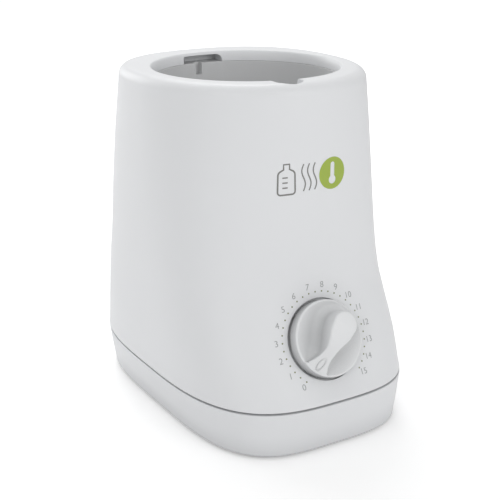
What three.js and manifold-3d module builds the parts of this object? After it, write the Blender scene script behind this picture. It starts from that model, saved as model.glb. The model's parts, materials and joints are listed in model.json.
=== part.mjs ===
// Electric bottle warmer: a round warm-water bath in a white two-part case. The bath is heated
// from below, stirred by a small pump, and switched by a wind-up timer with a dial on the front.
// Millimetres, +Z up, the front faces -Y. The origin is on the table, under the middle of the case.

import * as THREE from "three";
import { mergeVertices } from "three/addons/utils/BufferGeometryUtils.js";
import Module from "manifold-3d";

const wasm = await Module();
wasm.setup();

// ---- Driving dimensions ----

const gap = 0.3; // between pieces that touch
const wall = 2.6; // thickness of the case
const caseHeight = 188.2;
const footHeight = 1.2; // how far the base stands off the table
const seamHeight = 26.8; // middle of the line between base and housing
const seamGap = 1.0;
const topEdgeRadius = 6;
const bottomEdgeRadius = 1.5;
const outlineSteps = 40; // corners round the case outline

// The case outline at a height is a pair of superelliptic halves, front and back, that meet
// on the widest line. Each list runs up the case as [height, value].
const halfWidthLine = [[26.8, 66.4], [66, 66.8], [104, 66.5], [143, 65.5], [182, 63.8]];
const frontLine = [[26.8, -93.9], [33, -89.2], [45, -82.1], [66, -72.4], [79, -67.2], [92, -65.4],
  [108, -65.1], [182, -65.1]];
const backLine = [[26.8, 93.9], [66, 93.1], [104, 89.1], [143, 81.9], [182, 71.5]];
const widestLine = [[26.8, 0], [182, 4.7]];
const frontPowerLine = [[26.8, 3.13], [45, 3.45], [70, 3.07], [110, 2.56], [182, 2.1]];
const backPowerLine = [[26.8, 3.13], [66, 2.75], [104, 2.5], [182, 2.45]];

// The outline of the base where it meets its floor
const baseFloorOutline = {
  halfWidth: 60.2, front: -90.8, back: 90.0, widest: -0.4, frontPower: 3.6, backPower: 3.8,
};

// Mouth of the bath
const mouthY = 1.15;
const mouthRadius = 52.2; // at the top edge
const throatRadius = 50.4; // where the rolled lip ends
const lipDepth = 5.8;
const collarRadius = 59.5; // the thick ring under the lip
const notch = { x: -8.3, y: -53.2, radius: 7.5, floor: 183.9 };
const pocket = { left: -12.2, right: 13, back: 59, top: 186.5, cornerRadius: 3.5 };

// Reservoir
const bathTopRadius = 49.9;
const bathBottomRadius = 47.3;
const bathTop = 181.9;
const bathBottom = 71.8;
const bathWall = 2.2;
const rimRadius = 59;
const rimThickness = 2.5;
const floorOpeningRadius = 40.5;
const panel = { left: -10, right: 14, depth: 0.8, bottom: 140 };
const keyway = { left: -4, right: 0, bottom: 175.5, back: 53.4 }; // a blind slot in the rear wall

// Heater under the bath
const plateTop = 67.5;
const plateThickness = 1.5;
const plateRadius = 48;
const elementRadius = 38.3; // of the ring the element is bent to
const elementThickness = 5.2;
const clampScrewRadius = 53.5;
const clampScrewAngles = [90, 210, 330];

// Pump in the middle of the bath floor
const chamberRadius = 19.7;
const chamberWall = 2;
const chamberFloor = 58.5;
const shaftRadius = 1.5;
const motorRadius = 11.5;
const motorTop = 53.7;
const motorBottom = 24;
const motorScrewX = 15;
const bladeCount = 6;
const grilleSlots = 8;

// Dial and timer, in a frame whose +Z points out of the dial and whose +Y points up it
const dialCentre = new THREE.Vector3(0, -77, 56);
const dialLean = 24.9; // degrees that the dial leans back
const dialWellRadius = 21.7;
const dialWellDepth = 2;
const knobRadius = 20.3;
const knobRimHeight = 5.8;
const knobDishHeight = 2.8; // height of the dished face at its middle
const knobSkirtRadius = 20.6;
const pointerAngle = -138.45; // degrees from straight up to the 0 mark
const timerShaftRadius = 3.2;
const timerSize = 34;
const timerDepth = 20;
const timerScrewXs = [-20.5, 20.5];
const timerBossDepth = 6; // under the face of the dial

// Fasteners and feet
const screwHole = 1.55;
const screwShank = 1.2;
const screwHead = 2.4;
const postPlaces = [[-47, -66], [47, -66], [-47, 70], [47, 70]];
const postRadius = 4.6;
const footRadius = 7;

const feet = [
  { name: "foot_front_left", x: -34, y: -62 },
  { name: "foot_front_right", x: 34, y: -62 },
  { name: "foot_rear_left", x: -34, y: 62 },
  { name: "foot_rear_right", x: 34, y: 62 },
];

// Mains inlet at the rear of the base
const inletZ = 14;
const inletSeat = 90.8; // the flat in the rear wall that the bush sits on
const bushRadius = 5.4;
const bushBore = 3.4;
const bushFlangeRadius = 8.4;
const clampScrewXs = [-11, 11];
const clampBarY = 76;
const clampBarBottom = 17.5;
const clampBarThickness = 3;
const terminalScrewXs = [-38, -18];
const terminalY = 62;
const terminalBottom = 7;
const terminalBaseHeight = 7;

const seamBottom = seamHeight - seamGap / 2;
const seamTop = seamHeight + seamGap / 2;
const baseFloorTop = footHeight + 2.8;
const caseScrewSeat = footHeight + 2.4;
const collarBottom = caseHeight - lipDepth;

// ---- Shape helpers ----

// A smooth curve through [height, value] points that never overshoots them
function smoothLine(points) {
  const slopes = points.slice(1).map(([z, value], i) => (value - points[i][1]) / (z - points[i][0]));
  const tangents = points.map((_, i) => {
    if (i === 0 || i === points.length - 1) {
      return i === 0 ? slopes[0] : slopes[slopes.length - 1];
    }
    const [before, after] = [slopes[i - 1], slopes[i]];
    return before * after <= 0 ? 0 : (2 * before * after) / (before + after);
  });
  return (height) => {
    const z = THREE.MathUtils.clamp(height, points[0][0], points[points.length - 1][0]);
    const i = Math.min(points.findLastIndex((point) => point[0] <= z), points.length - 2);
    const span = points[i + 1][0] - points[i][0];
    const t = (z - points[i][0]) / span;
    const rise = points[i + 1][1] - points[i][1];
    const ease = t * t * (3 - 2 * t);
    return points[i][1] + rise * ease
      + span * t * (1 - t) * ((1 - t) * tangents[i] - t * tangents[i + 1]);
  };
}

const halfWidthAt = smoothLine(halfWidthLine);
const frontAt = smoothLine(frontLine);
const backAt = smoothLine(backLine);
const widestAt = smoothLine(widestLine);
const frontPowerAt = smoothLine(frontPowerLine);
const backPowerAt = smoothLine(backPowerLine);

function housingOutline(z) {
  return {
    halfWidth: halfWidthAt(z),
    front: frontAt(z),
    back: backAt(z),
    widest: widestAt(z),
    frontPower: frontPowerAt(z),
    backPower: backPowerAt(z),
  };
}

// Below the seam the case tapers evenly to the floor of the base
function caseOutline(z) {
  if (z >= seamHeight) {
    return housingOutline(z);
  }
  const seam = housingOutline(seamHeight);
  const t = THREE.MathUtils.clamp((seamHeight - z) / (seamHeight - footHeight), 0, 1);
  const mix = (name) => THREE.MathUtils.lerp(seam[name], baseFloorOutline[name], t);
  return Object.fromEntries(Object.keys(seam).map((name) => [name, mix(name)]));
}

function outlinePoint(outline, angle, inset) {
  const across = Math.cos(angle);
  const along = Math.sin(angle);
  const isBack = along > 0;
  const power = 2 / (isBack ? outline.backPower : outline.frontPower);
  const reach = isBack ? outline.back - outline.widest : outline.widest - outline.front;
  const x = (outline.halfWidth - inset) * Math.sign(across) * Math.abs(across) ** power;
  const y = outline.widest + (reach - inset) * Math.sign(along) * Math.abs(along) ** power;
  return [x, y];
}

// A closed body through case outlines. Each level is { z, inset }, from the bottom up.
function loft(outlineAt, levels) {
  const ends = [levels[0], levels[levels.length - 1]];
  const profile = [new THREE.Vector2(0, ends[0].z)];
  levels.forEach((level) => profile.push(new THREE.Vector2(1, level.z)));
  profile.push(new THREE.Vector2(0, ends[1].z));
  const geometry = new THREE.LatheGeometry(profile, outlineSteps);
  const position = geometry.getAttribute("position");
  for (let i = 0; i < position.count; i++) {
    const step = Math.floor(i / profile.length) % outlineSteps;
    const row = i % profile.length;
    const isAxis = row === 0 || row === profile.length - 1;
    const level = levels[THREE.MathUtils.clamp(row - 1, 0, levels.length - 1)];
    const outline = outlineAt(level.z);
    const [x, y] = isAxis
      ? [0, outline.widest]
      : outlinePoint(outline, (2 * Math.PI * step) / outlineSteps, level.inset);
    position.setXYZ(i, x, y, level.z);
  }
  return geometry;
}

const straightLevels = (heights, inset) => heights.map((z) => ({ z, inset }));

function disc(radius, bottom, top, steps = 24) {
  const geometry = new THREE.CylinderGeometry(radius, radius, top - bottom, steps);
  return geometry.rotateX(Math.PI / 2).translate(0, 0, (bottom + top) / 2);
}

const alongY = (geometry) => geometry.rotateX(-Math.PI / 2); // turns a disc's axis to +Y

function block(left, right, front, back, bottom, top) {
  const geometry = new THREE.BoxGeometry(right - left, back - front, top - bottom);
  return geometry.translate((left + right) / 2, (front + back) / 2, (bottom + top) / 2);
}

// A turned body about Z. The profile of [radius, height] points ends on the axis or closes.
function turned(profile, steps = 32) {
  const points = profile.map(([radius, height]) => new THREE.Vector2(radius, height));
  return new THREE.LatheGeometry(points, steps).rotateX(Math.PI / 2);
}

function tube(inner, outer, bottom, top, steps = 32) {
  return turned([[inner, bottom], [outer, bottom], [outer, top], [inner, top], [inner, bottom]], steps);
}

function prism(shape, bottom, top, curveSegments = 8) {
  const options = { depth: top - bottom, bevelEnabled: false, curveSegments };
  return new THREE.ExtrudeGeometry(shape, options).translate(0, 0, bottom);
}

// A closed geometry as a solid with its faces pointing out
function solid(body) {
  if (!(body instanceof THREE.BufferGeometry)) {
    return body;
  }
  const bare = body.index ? body.toNonIndexed() : body.clone();
  const extras = Object.keys(bare.attributes).filter((name) => name !== "position");
  extras.forEach((name) => bare.deleteAttribute(name));
  const merged = mergeVertices(bare, 1e-4);
  const position = merged.getAttribute("position");
  const corners = [];
  for (let i = 0; i < merged.index.count; i += 3) {
    const [a, b, c] = [0, 1, 2].map((k) => merged.index.getX(i + k));
    if (a !== b && b !== c && c !== a) {
      corners.push([a, b, c]);
    }
  }
  const point = (i) => new THREE.Vector3().fromBufferAttribute(position, i);
  const volume = corners.reduce((sum, [a, b, c]) => sum + point(a).dot(point(b).cross(point(c))), 0);
  const facing = volume > 0 ? corners : corners.map(([a, b, c]) => [a, c, b]);
  return new wasm.Manifold(new wasm.Mesh({
    numProp: 3,
    vertProperties: new Float32Array(position.array),
    triVerts: new Uint32Array(facing.flat()),
  }));
}

const join = (...bodies) => bodies.map(solid).reduce((sum, body) => sum.add(body));
const cut = (body, ...tools) => tools.map(solid).reduce((rest, tool) => rest.subtract(tool), solid(body));

function geometryOf(body) {
  const mesh = solid(body).getMesh();
  const geometry = new THREE.BufferGeometry();
  geometry.setAttribute("position", new THREE.BufferAttribute(new Float32Array(mesh.vertProperties), 3));
  geometry.setIndex(new THREE.BufferAttribute(new Uint32Array(mesh.triVerts), 1));
  geometry.computeVertexNormals();
  return geometry;
}

const radians = THREE.MathUtils.degToRad;
const pointerTurn = radians(90 - pointerAngle); // turns +X of the dial's frame to the pointer

// ---- Materials ----

function finish(color, roughness, metalness = 0) {
  return () => new THREE.MeshStandardMaterial({ color, roughness, metalness });
}

const whiteCase = finish(0xf1f2f4, 0.4);
const whiteKnob = finish(0xeceded, 0.35);
const greyBath = finish(0xb9babb, 0.5);
const greyPlastic = finish(0x8f9296, 0.55);
const blackPlastic = finish(0x26272a, 0.5);
const blackRubber = finish(0x1d1d1f, 0.85);
const clearSilicone = finish(0xc9c4ba, 0.7);
const stainless = finish(0xb7babd, 0.3, 1);
const zinc = finish(0xa9abad, 0.4, 1);
const ceramic = finish(0xe4ded2, 0.6);

// ---- Assembly ----

const warmer = new THREE.Group();

const bath = new THREE.Group(); // turned pieces of the bath share this axis
bath.position.set(0, mouthY, 0);
warmer.add(bath);

const dial = new THREE.Group();
dial.position.copy(dialCentre);
dial.rotation.x = radians(90 - dialLean);
warmer.add(dial);
warmer.updateMatrixWorld(true);

const onDial = (geometry) => geometry.applyMatrix4(dial.matrixWorld);

function addPiece(name, body, material, parent = warmer) {
  const mesh = new THREE.Mesh(geometryOf(body), material());
  mesh.name = name;
  parent.add(mesh);
  return mesh;
}

// A pan-head screw whose head sits under z = 0 and whose shank points up
function screw(length, headHeight = 1.6) {
  const profile = [[0, -headHeight], [screwHead, -headHeight], [screwHead, 0], [screwShank, 0],
    [screwShank, length - 1], [0, length]];
  return turned(profile, 8);
}

function addScrew(name, length, x, y, z, parent = warmer) {
  const mesh = addPiece(name, screw(length), zinc, parent);
  mesh.position.set(x, y, z);
  return mesh;
}

const polar = (angle, radius) => [radius * Math.cos(radians(angle)), radius * Math.sin(radians(angle))];
const spread = (geometry, angle, radius) => geometry.translate(...polar(angle, radius), 0);

// ---- Case ----

const rimScrewAngles = [45, 135, 225, 315];
const rimScrewRadius = 56.6;
const postTop = 46;

function upperHousing() {
  const heights = [34, 45, 62, 76, 84, 94, 110, 146];
  const edge = [0, 30, 60, 90].map((angle) => ({
    z: caseHeight - topEdgeRadius * (1 - Math.sin(radians(angle))),
    inset: topEdgeRadius * (1 - Math.cos(radians(angle))),
  }));
  const outside = solid(loft(caseOutline, [...straightLevels([seamTop, ...heights], 0), ...edge]));
  const inside = loft(caseOutline, [
    ...straightLevels([seamTop - 1, 34, 45, 62, 84, 110, caseHeight - topEdgeRadius - 2], wall),
    { z: caseHeight - wall, inset: wall + topEdgeRadius / 2 },
  ]);
  const collar = disc(collarRadius, collarBottom, caseHeight - 1, 44).translate(0, mouthY, 0);
  const notchPad = disc(notch.radius + 1.8, collarBottom, caseHeight - 1).translate(notch.x, notch.y, 0);
  const dialWell = onDial(disc(dialWellRadius + 3, -dialWellDepth - 2.4, -0.8, 32));
  const timerBosses = timerScrewXs.map((x) => onDial(disc(3.4, -timerBossDepth, -3, 16).translate(x, 0, 0)));
  const posts = postPlaces.map(([x, y]) => disc(postRadius, seamTop, postTop, 16).translate(x, y, 0));
  const shell = cut(outside, inside);
  const full = join(shell, collar, notchPad, dialWell, ...timerBosses, ...posts).intersect(outside);

  const lipArc = [0, 30, 60, 90].map((angle) => [
    mouthRadius - (mouthRadius - throatRadius) * Math.sin(radians(angle)),
    caseHeight - lipDepth + lipDepth * Math.cos(radians(angle)),
  ]).reverse();
  const mouth = turned([[0, collarBottom - 5], [throatRadius, collarBottom - 5], ...lipArc,
    [mouthRadius + 0.2, caseHeight + 2], [0, caseHeight + 2]], 48).translate(0, mouthY, 0);
  const notchCut = join(
    disc(notch.radius, notch.floor, caseHeight + 2, 32),
    block(-notch.radius, notch.radius, 0, 12, notch.floor, caseHeight + 2),
  ).translate(notch.x, notch.y, 0);
  const rimHoles = rimScrewAngles.map((angle) => {
    const hole = spread(disc(screwHole, collarBottom - 1, caseHeight - 1.3, 8), angle, rimScrewRadius);
    return hole.translate(0, mouthY, 0);
  });
  const postHoles = postPlaces.map(([x, y]) => (
    disc(screwHole, seamTop - 1, postTop - 4, 8).translate(x, y, 0)
  ));
  const timerHoles = timerScrewXs.map((x) => (
    onDial(disc(screwHole, -timerBossDepth - 1, -3.2, 8).translate(x, 0, 0))
  ));
  return cut(
    full,
    mouth,
    notchCut,
    pocketCut(),
    onDial(disc(dialWellRadius, -dialWellDepth, 12, 40)),
    onDial(disc(5, -10, 0, 24)),
    ...rimHoles,
    ...postHoles,
    ...timerHoles,
  );
}

// The pocket under the rear of the lip, with round upper corners, that a bottle hanger hooks into
function pocketCut() {
  const { left, right, back, top, cornerRadius } = pocket;
  const bottom = collarBottom - 1;
  const shape = new THREE.Shape();
  shape.moveTo(left, bottom);
  shape.lineTo(right, bottom);
  shape.lineTo(right, top - cornerRadius);
  shape.absarc(right - cornerRadius, top - cornerRadius, cornerRadius, 0, Math.PI / 2);
  shape.lineTo(left + cornerRadius, top);
  shape.absarc(left + cornerRadius, top - cornerRadius, cornerRadius, Math.PI / 2, Math.PI);
  const front = mouthY + throatRadius - 8;
  return prism(shape, 0, back - front, 4).rotateX(Math.PI / 2).translate(0, back, 0);
}

function baseShell() {
  const edge = [90, 45, 0].map((angle) => ({
    z: footHeight + bottomEdgeRadius * (1 - Math.sin(radians(angle))),
    inset: bottomEdgeRadius * (1 - Math.cos(radians(angle))),
  }));
  const outside = loft(caseOutline, [...edge, { z: seamBottom, inset: 0 }]);
  const tongueInset = wall + gap + 0.1;
  const tongueTop = seamTop + 2;
  const postClearance = disc(postRadius + gap, seamTop - gap, tongueTop + 1, 16);
  const tongue = cut(
    loft(caseOutline, straightLevels([seamBottom - 2, tongueTop], tongueInset)),
    ...postPlaces.map(([x, y]) => postClearance.clone().translate(x, y, 0)),
  );
  const inside = loft(caseOutline, [
    ...straightLevels([baseFloorTop, seamBottom - 6], wall),
    ...straightLevels([seamBottom - 3, tongueTop + 1], tongueInset + 1.8),
  ]);
  const onFloor = (radius, top, x, y, steps) => (
    disc(radius, baseFloorTop - 1, top, steps).translate(x, y, 0)
  );
  const posts = [
    ...postPlaces.map(([x, y]) => onFloor(postRadius, seamTop - gap, x, y, 16)),
    ...clampScrewXs.map((x) => onFloor(2.8, clampBarBottom - gap, x, clampBarY, 12)),
    ...terminalScrewXs.map((x) => onFloor(2.8, terminalBottom - gap, x, terminalY, 12)),
  ];
  const cordSaddle = block(-5, 5, clampBarY - 3, clampBarY + 3, baseFloorTop - 1, inletZ - bushBore);
  const inletPad = alongY(disc(bushFlangeRadius + 2.5, inletSeat - wall, inletSeat + wall, 20));
  const pad = solid(inletPad.translate(0, 0, inletZ)).intersect(solid(outside));
  const full = join(cut(join(outside, tongue), inside), pad, cordSaddle, ...posts);

  const postHoles = postPlaces.flatMap(([x, y]) => [
    disc(screwHole, footHeight, seamTop + 1, 8).translate(x, y, 0),
    disc(screwHead + gap, footHeight - 1, caseScrewSeat, 12).translate(x, y, 0),
  ]);
  const footPockets = feet.map(({ x, y }) => (
    disc(footRadius + gap, footHeight - 1, footHeight + 1, 16).translate(x, y, 0)
  ));
  const smallHoles = [
    ...clampScrewXs.map((x) => onFloor(screwHole, clampBarBottom, x, clampBarY, 8)),
    ...terminalScrewXs.map((x) => onFloor(screwHole, terminalBottom, x, terminalY, 8)),
  ];
  const inlet = join(
    alongY(disc(bushRadius + gap, inletSeat - 10, inletSeat + 1, 20)),
    alongY(disc(bushFlangeRadius + gap, inletSeat, inletSeat + 10, 20)),
  ).translate(0, 0, inletZ);
  return cut(full, ...postHoles, ...footPockets, ...smallHoles, inlet);
}

addPiece("upper_housing", upperHousing(), whiteCase);
addPiece("base_shell", baseShell(), whiteCase);

feet.forEach(({ name, x, y }) => {
  const profile = [[0, 0], [footRadius - 0.6, 0], [footRadius, 0.6], [footRadius, footHeight + 1 - gap],
    [0, footHeight + 1 - gap]];
  const foot = addPiece(name, turned(profile, 16), blackRubber);
  foot.position.set(x, y, 0);
});

postPlaces.forEach(([x, y], i) => addScrew(`case_screw_${i + 1}`, 36, x, y, caseScrewSeat - gap));

// ---- Mains inlet ----

// A flanged bush in the rear wall, with a bore for the cord
function cordBush() {
  const flangeFront = inletSeat + gap;
  const flangeBack = flangeFront + 1.5;
  const inner = inletSeat - wall - 4;
  const profile = [[bushBore, inner], [bushRadius, inner], [bushRadius, flangeFront],
    [bushFlangeRadius, flangeFront], [bushFlangeRadius - 0.6, flangeBack], [bushBore, flangeBack],
    [bushBore, inner]];
  return alongY(turned(profile, 20)).translate(0, 0, inletZ);
}

function cordClamp() {
  const top = clampBarBottom + clampBarThickness;
  const bar = block(-15, 15, clampBarY - 3.5, clampBarY + 3.5, clampBarBottom, top);
  const groove = alongY(disc(bushBore + 0.4, clampBarY - 5, clampBarY + 5, 16));
  const holes = clampScrewXs.map((x) => (
    disc(screwHole, clampBarBottom - 1, top + 1, 8).translate(x, clampBarY, 0)
  ));
  return cut(bar, groove.translate(0, 0, inletZ + 1.2), ...holes);
}

// A two-pole block: a foot with a screw at each end and two towers with a wire way through each
function terminalBlock() {
  const middle = (terminalScrewXs[0] + terminalScrewXs[1]) / 2;
  const footTop = terminalBottom + terminalBaseHeight;
  const [front, back] = [terminalY - 6, terminalY + 6];
  const foot = block(middle - 14, middle + 14, front, back, terminalBottom, footTop);
  const towerXs = [middle - 4, middle + 4];
  const towers = towerXs.map((x) => block(x - 3, x + 3, front + 1, back - 1, footTop - 1, footTop + 6));
  const wireWays = towerXs.map((x) => alongY(disc(2, front - 1, back + 1, 10)).translate(x, 0, footTop));
  const holes = terminalScrewXs.map((x) => (
    disc(screwHole, terminalBottom - 1, footTop + 1, 8).translate(x, terminalY, 0)
  ));
  return cut(join(foot, ...towers), ...wireWays, ...holes);
}

addPiece("cord_bush", cordBush(), blackRubber);
addPiece("cord_clamp", cordClamp(), greyPlastic);
addPiece("terminal_block", terminalBlock(), ceramic);

// Screws that go in from above hang head up
function addScrewDown(name, length, x, y, z) {
  addScrew(name, length, x, y, z).rotation.x = Math.PI;
}

const clampScrewTop = clampBarBottom + clampBarThickness + gap;
const terminalScrewTop = terminalBottom + terminalBaseHeight + gap;
clampScrewXs.forEach((x, i) => {
  addScrewDown(`cord_clamp_screw_${i + 1}`, 11, x, clampBarY, clampScrewTop);
});
terminalScrewXs.forEach((x, i) => {
  addScrewDown(`terminal_screw_${i + 1}`, 9, x, terminalY, terminalScrewTop);
});

// ---- Reservoir ----

function reservoir() {
  const rimBottom = bathTop - rimThickness;
  const flangeBottom = bathBottom - 2.5;
  const body = turned([
    [floorOpeningRadius, flangeBottom],
    [bathBottomRadius + bathWall - 1, flangeBottom],
    [bathBottomRadius + bathWall, flangeBottom + 1],
    [bathTopRadius + bathWall, rimBottom],
    [rimRadius, rimBottom],
    [rimRadius, bathTop],
    [bathTopRadius, bathTop],
    [bathBottomRadius + 0.1, bathBottom + 4],
    [bathBottomRadius - 1.1, bathBottom + 1.2],
    [bathBottomRadius - 4, bathBottom],
    [floorOpeningRadius, bathBottom],
    [floorOpeningRadius, flangeBottom],
  ], 48);
  const bosses = clampScrewAngles.map((angle) => (
    spread(disc(4.2, plateTop - 1.2, 80, 12), angle, clampScrewRadius)
  ));
  const core = turned([[0, flangeBottom - 5], [bathBottomRadius + 0.6, flangeBottom - 5],
    [bathBottomRadius + 0.6, bathBottom + 4], [bathTopRadius + 0.6, bathTop + 1], [0, bathTop + 1]], 48);
  const bossHoles = clampScrewAngles.map((angle) => (
    spread(disc(screwHole, plateTop - 2, 77, 8), angle, clampScrewRadius)
  ));
  const rimHoles = rimScrewAngles.map((angle) => (
    spread(disc(screwHole, rimBottom - 1, bathTop + 1, 8), angle, rimScrewRadius)
  ));
  const panelCut = solid(disc(bathTopRadius + panel.depth, panel.bottom, bathTop + 1, 96))
    .intersect(solid(block(panel.left, panel.right, 30, 60, panel.bottom, bathTop + 1)));
  const keywayCut = block(keyway.left, keyway.right, 40, keyway.back, keyway.bottom, bathTop + 1);
  const keywayPad = block(
    keyway.left - 2, keyway.right + 2, 45, keyway.back + 1.8, keyway.bottom - 2, bathTop - 1,
  );
  const outer = cut(join(...bosses, keywayPad), core);
  return cut(join(body, outer), ...bossHoles, ...rimHoles, panelCut, keywayCut);
}

addPiece("reservoir", reservoir(), greyBath, bath);

rimScrewAngles.forEach((angle, i) => {
  const seat = bathTop - rimThickness - gap;
  addScrew(`reservoir_screw_${i + 1}`, 7, ...polar(angle, rimScrewRadius), seat, bath);
});

// ---- Heater ----

const plateBottom = plateTop - plateThickness;
const clampTop = plateBottom - gap;
const clampThickness = 2.3;

const plate = tube(chamberRadius + gap, plateRadius, plateBottom, plateTop, 40);
addPiece("heating_plate", plate, stainless, bath);
const plateSeal = tube(42, 46.5, plateTop + gap, plateTop + 1.5);
addPiece("heating_plate_seal", plateSeal, clearSilicone, bath);

function heaterClampRing() {
  const bottom = clampTop - clampThickness;
  const ears = clampScrewAngles.map((angle) => (
    spread(disc(4.2, bottom, clampTop, 12), angle, clampScrewRadius)
  ));
  const holes = clampScrewAngles.map((angle) => (
    spread(disc(screwHole, bottom - 1, clampTop + 1, 8), angle, clampScrewRadius)
  ));
  return cut(join(tube(44, 50, bottom, clampTop, 36), ...ears), ...holes);
}

addPiece("heater_clamp_ring", heaterClampRing(), zinc, bath);
clampScrewAngles.forEach((angle, i) => {
  const seat = clampTop - clampThickness - gap;
  addScrew(`heater_clamp_screw_${i + 1}`, 12, ...polar(angle, clampScrewRadius), seat, bath);
});

// The sheathed element: most of a ring, with both ends turned down to their terminals
function heatingElement() {
  const z = plateBottom - gap - elementThickness / 2;
  const ends = [108, 432];
  const points = [];
  const at = (angle, height) => new THREE.Vector3(...polar(angle, elementRadius), height);
  points.push(at(ends[0] - 3, z - 12), at(ends[0] - 2.5, z - 7));
  for (let angle = ends[0] + 6; angle <= ends[1] - 6; angle += 12) {
    points.push(at(angle, z));
  }
  points.push(at(ends[1] + 2.5, z - 7), at(ends[1] + 3, z - 12));
  const section = new THREE.Shape();
  section.absarc(0, 0, elementThickness / 2, 0, 2 * Math.PI);
  const extrudePath = new THREE.CatmullRomCurve3(points);
  const options = { steps: 30, curveSegments: 4, bevelEnabled: false, extrudePath };
  return new THREE.ExtrudeGeometry(section, options);
}

addPiece("heating_element", heatingElement(), stainless, bath);

const thermostat = turned([[0, 56], [3, 56], [3, 59], [5, 59], [5, clampTop], [0, clampTop]], 20);
addPiece("thermostat", thermostat.translate(29.5, 0, 0), ceramic, bath);
const fuse = new THREE.CylinderGeometry(1.8, 1.8, 12, 12);
addPiece("thermal_fuse", fuse.translate(-29.5, 0, clampTop - 1.9), ceramic, bath);

// ---- Pump ----

const chamberFlangeBottom = plateTop + 1.6;
const chamberTop = chamberFlangeBottom + 1.8;
const chamberBottom = chamberFloor - 2.5;

function pumpChamber() {
  const inner = chamberRadius - chamberWall;
  const cup = turned([[0, chamberBottom], [chamberRadius, chamberBottom],
    [chamberRadius, chamberFlangeBottom], [24.5, chamberFlangeBottom], [24.5, chamberTop],
    [inner, chamberTop], [inner, chamberFloor], [0, chamberFloor]]);
  const bosses = [-motorScrewX, motorScrewX].map((x) => (
    disc(2.9, motorTop + gap, chamberBottom + 0.5, 16).translate(x, 0, 0)
  ));
  const holes = [-motorScrewX, motorScrewX].map((x) => (
    disc(screwHole, motorTop - 1, chamberFloor - 0.6, 8).translate(x, 0, 0)
  ));
  return cut(join(cup, ...bosses), ...holes, disc(5.3, chamberBottom - 1, chamberFloor + 1, 24));
}

addPiece("pump_chamber", pumpChamber(), greyPlastic, bath);
const chamberSeal = tube(20.6, 22.8, plateTop + gap, chamberFlangeBottom - gap);
addPiece("chamber_seal", chamberSeal, clearSilicone, bath);
const chamberNut = tube(chamberRadius + gap, 23.6, clampTop - 3.6, clampTop);
addPiece("chamber_nut", chamberNut, greyPlastic, bath);
const shaftSeal = tube(shaftRadius + gap, 5, chamberBottom + 0.2, chamberFloor, 20);
addPiece("shaft_seal", shaftSeal, blackRubber, bath);

function pumpGrille() {
  const bottom = chamberTop + gap;
  const cover = turned([[0, bottom], [24, bottom], [24, bottom + 1], [23.2, bottom + 1.6], [6, bottom + 2.4],
    [0, bottom + 2.4]]);
  const spigot = tube(15.6, chamberRadius - chamberWall - gap, bottom - 1.8, bottom + 0.5);
  const slots = [];
  for (let i = 0; i < grilleSlots; i++) {
    const slot = block(7, 15, -1.1, 1.1, bottom - 1, bottom + 4);
    slots.push(slot.rotateZ((2 * Math.PI * i) / grilleSlots));
  }
  return cut(join(cover, spigot), ...slots);
}

addPiece("pump_grille", pumpGrille(), greyPlastic, bath);

function impeller() {
  const bottom = chamberFloor + 2;
  const hub = turned([[0, bottom], [14, bottom], [14, bottom + 1.4], [3.6, bottom + 1.6], [3.4, bottom + 7],
    [0, bottom + 7.6]], 24);
  const blades = [];
  for (let i = 0; i < bladeCount; i++) {
    const blade = block(2.5, 13.4, -0.6, 0.6, bottom + 1, bottom + 5.8);
    blades.push(blade.rotateZ((2 * Math.PI * i) / bladeCount));
  }
  return cut(join(hub, ...blades), disc(shaftRadius + gap, bottom - 1, bottom + 5.6, 12));
}

addPiece("impeller", impeller(), whiteKnob, bath);
addPiece("impeller_shaft", disc(shaftRadius, 40, chamberFloor + 7.2, 12), stainless, bath);

function pumpMotor() {
  const can = turned([[0, motorBottom], [motorRadius - 1, motorBottom], [motorRadius, motorBottom + 1],
    [motorRadius, motorTop - 2], [motorRadius, motorTop], [0, motorTop]], 28);
  const ears = block(-motorScrewX - 3.6, motorScrewX + 3.6, -3.6, 3.6, motorTop - 1.5, motorTop);
  const holes = [-motorScrewX, motorScrewX].map((x) => (
    disc(screwHole, motorTop - 4, motorTop + 1, 8).translate(x, 0, 0)
  ));
  return cut(join(can, ears), ...holes, disc(shaftRadius + gap, 39.5, motorTop + 1, 8));
}

addPiece("pump_motor", pumpMotor(), zinc, bath);
[-motorScrewX, motorScrewX].forEach((x, i) => {
  addScrew(`motor_screw_${i + 1}`, 5.2, x, 0, motorTop - 1.5 - gap, bath);
});

// ---- Timer and dial knob, in the dial's own frame ----

const timerPlateTop = -timerBossDepth - gap;
const timerPlateBottom = timerPlateTop - 1.2;
const timerTop = timerPlateBottom - gap;
const timerBottom = timerTop - timerDepth;

function timerPlate() {
  const plate = block(-25, 25, -13, 13, timerPlateBottom, timerPlateTop);
  const holes = timerScrewXs.map((x) => (
    disc(screwHole, timerPlateBottom - 1, timerPlateTop + 1, 8).translate(x, 0, 0)
  ));
  return cut(plate, ...holes, disc(5, timerPlateBottom - 1, timerPlateTop + 1, 24));
}

function timerBody() {
  const half = timerSize / 2;
  const corner = 3;
  const shape = new THREE.Shape();
  shape.moveTo(half, -half + corner);
  shape.absarc(half - corner, half - corner, corner, 0, Math.PI / 2);
  shape.absarc(-half + corner, half - corner, corner, Math.PI / 2, Math.PI);
  shape.absarc(-half + corner, -half + corner, corner, Math.PI, 1.5 * Math.PI);
  shape.absarc(half - corner, -half + corner, corner, 1.5 * Math.PI, 2 * Math.PI);
  const shaftHole = disc(timerShaftRadius + gap, timerTop - 14, timerTop + 1, 20);
  return cut(prism(shape, timerBottom, timerTop, 3), shaftHole);
}

addPiece("timer_plate", timerPlate(), zinc, dial);
addPiece("timer_body", timerBody(), blackPlastic, dial);
timerScrewXs.forEach((x, i) => addScrew(`timer_screw_${i + 1}`, 4, x, 0, timerPlateBottom - gap, dial));
addPiece("timer_shaft", disc(timerShaftRadius, timerTop - 13.6, 9.6, 20), stainless, dial);

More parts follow.
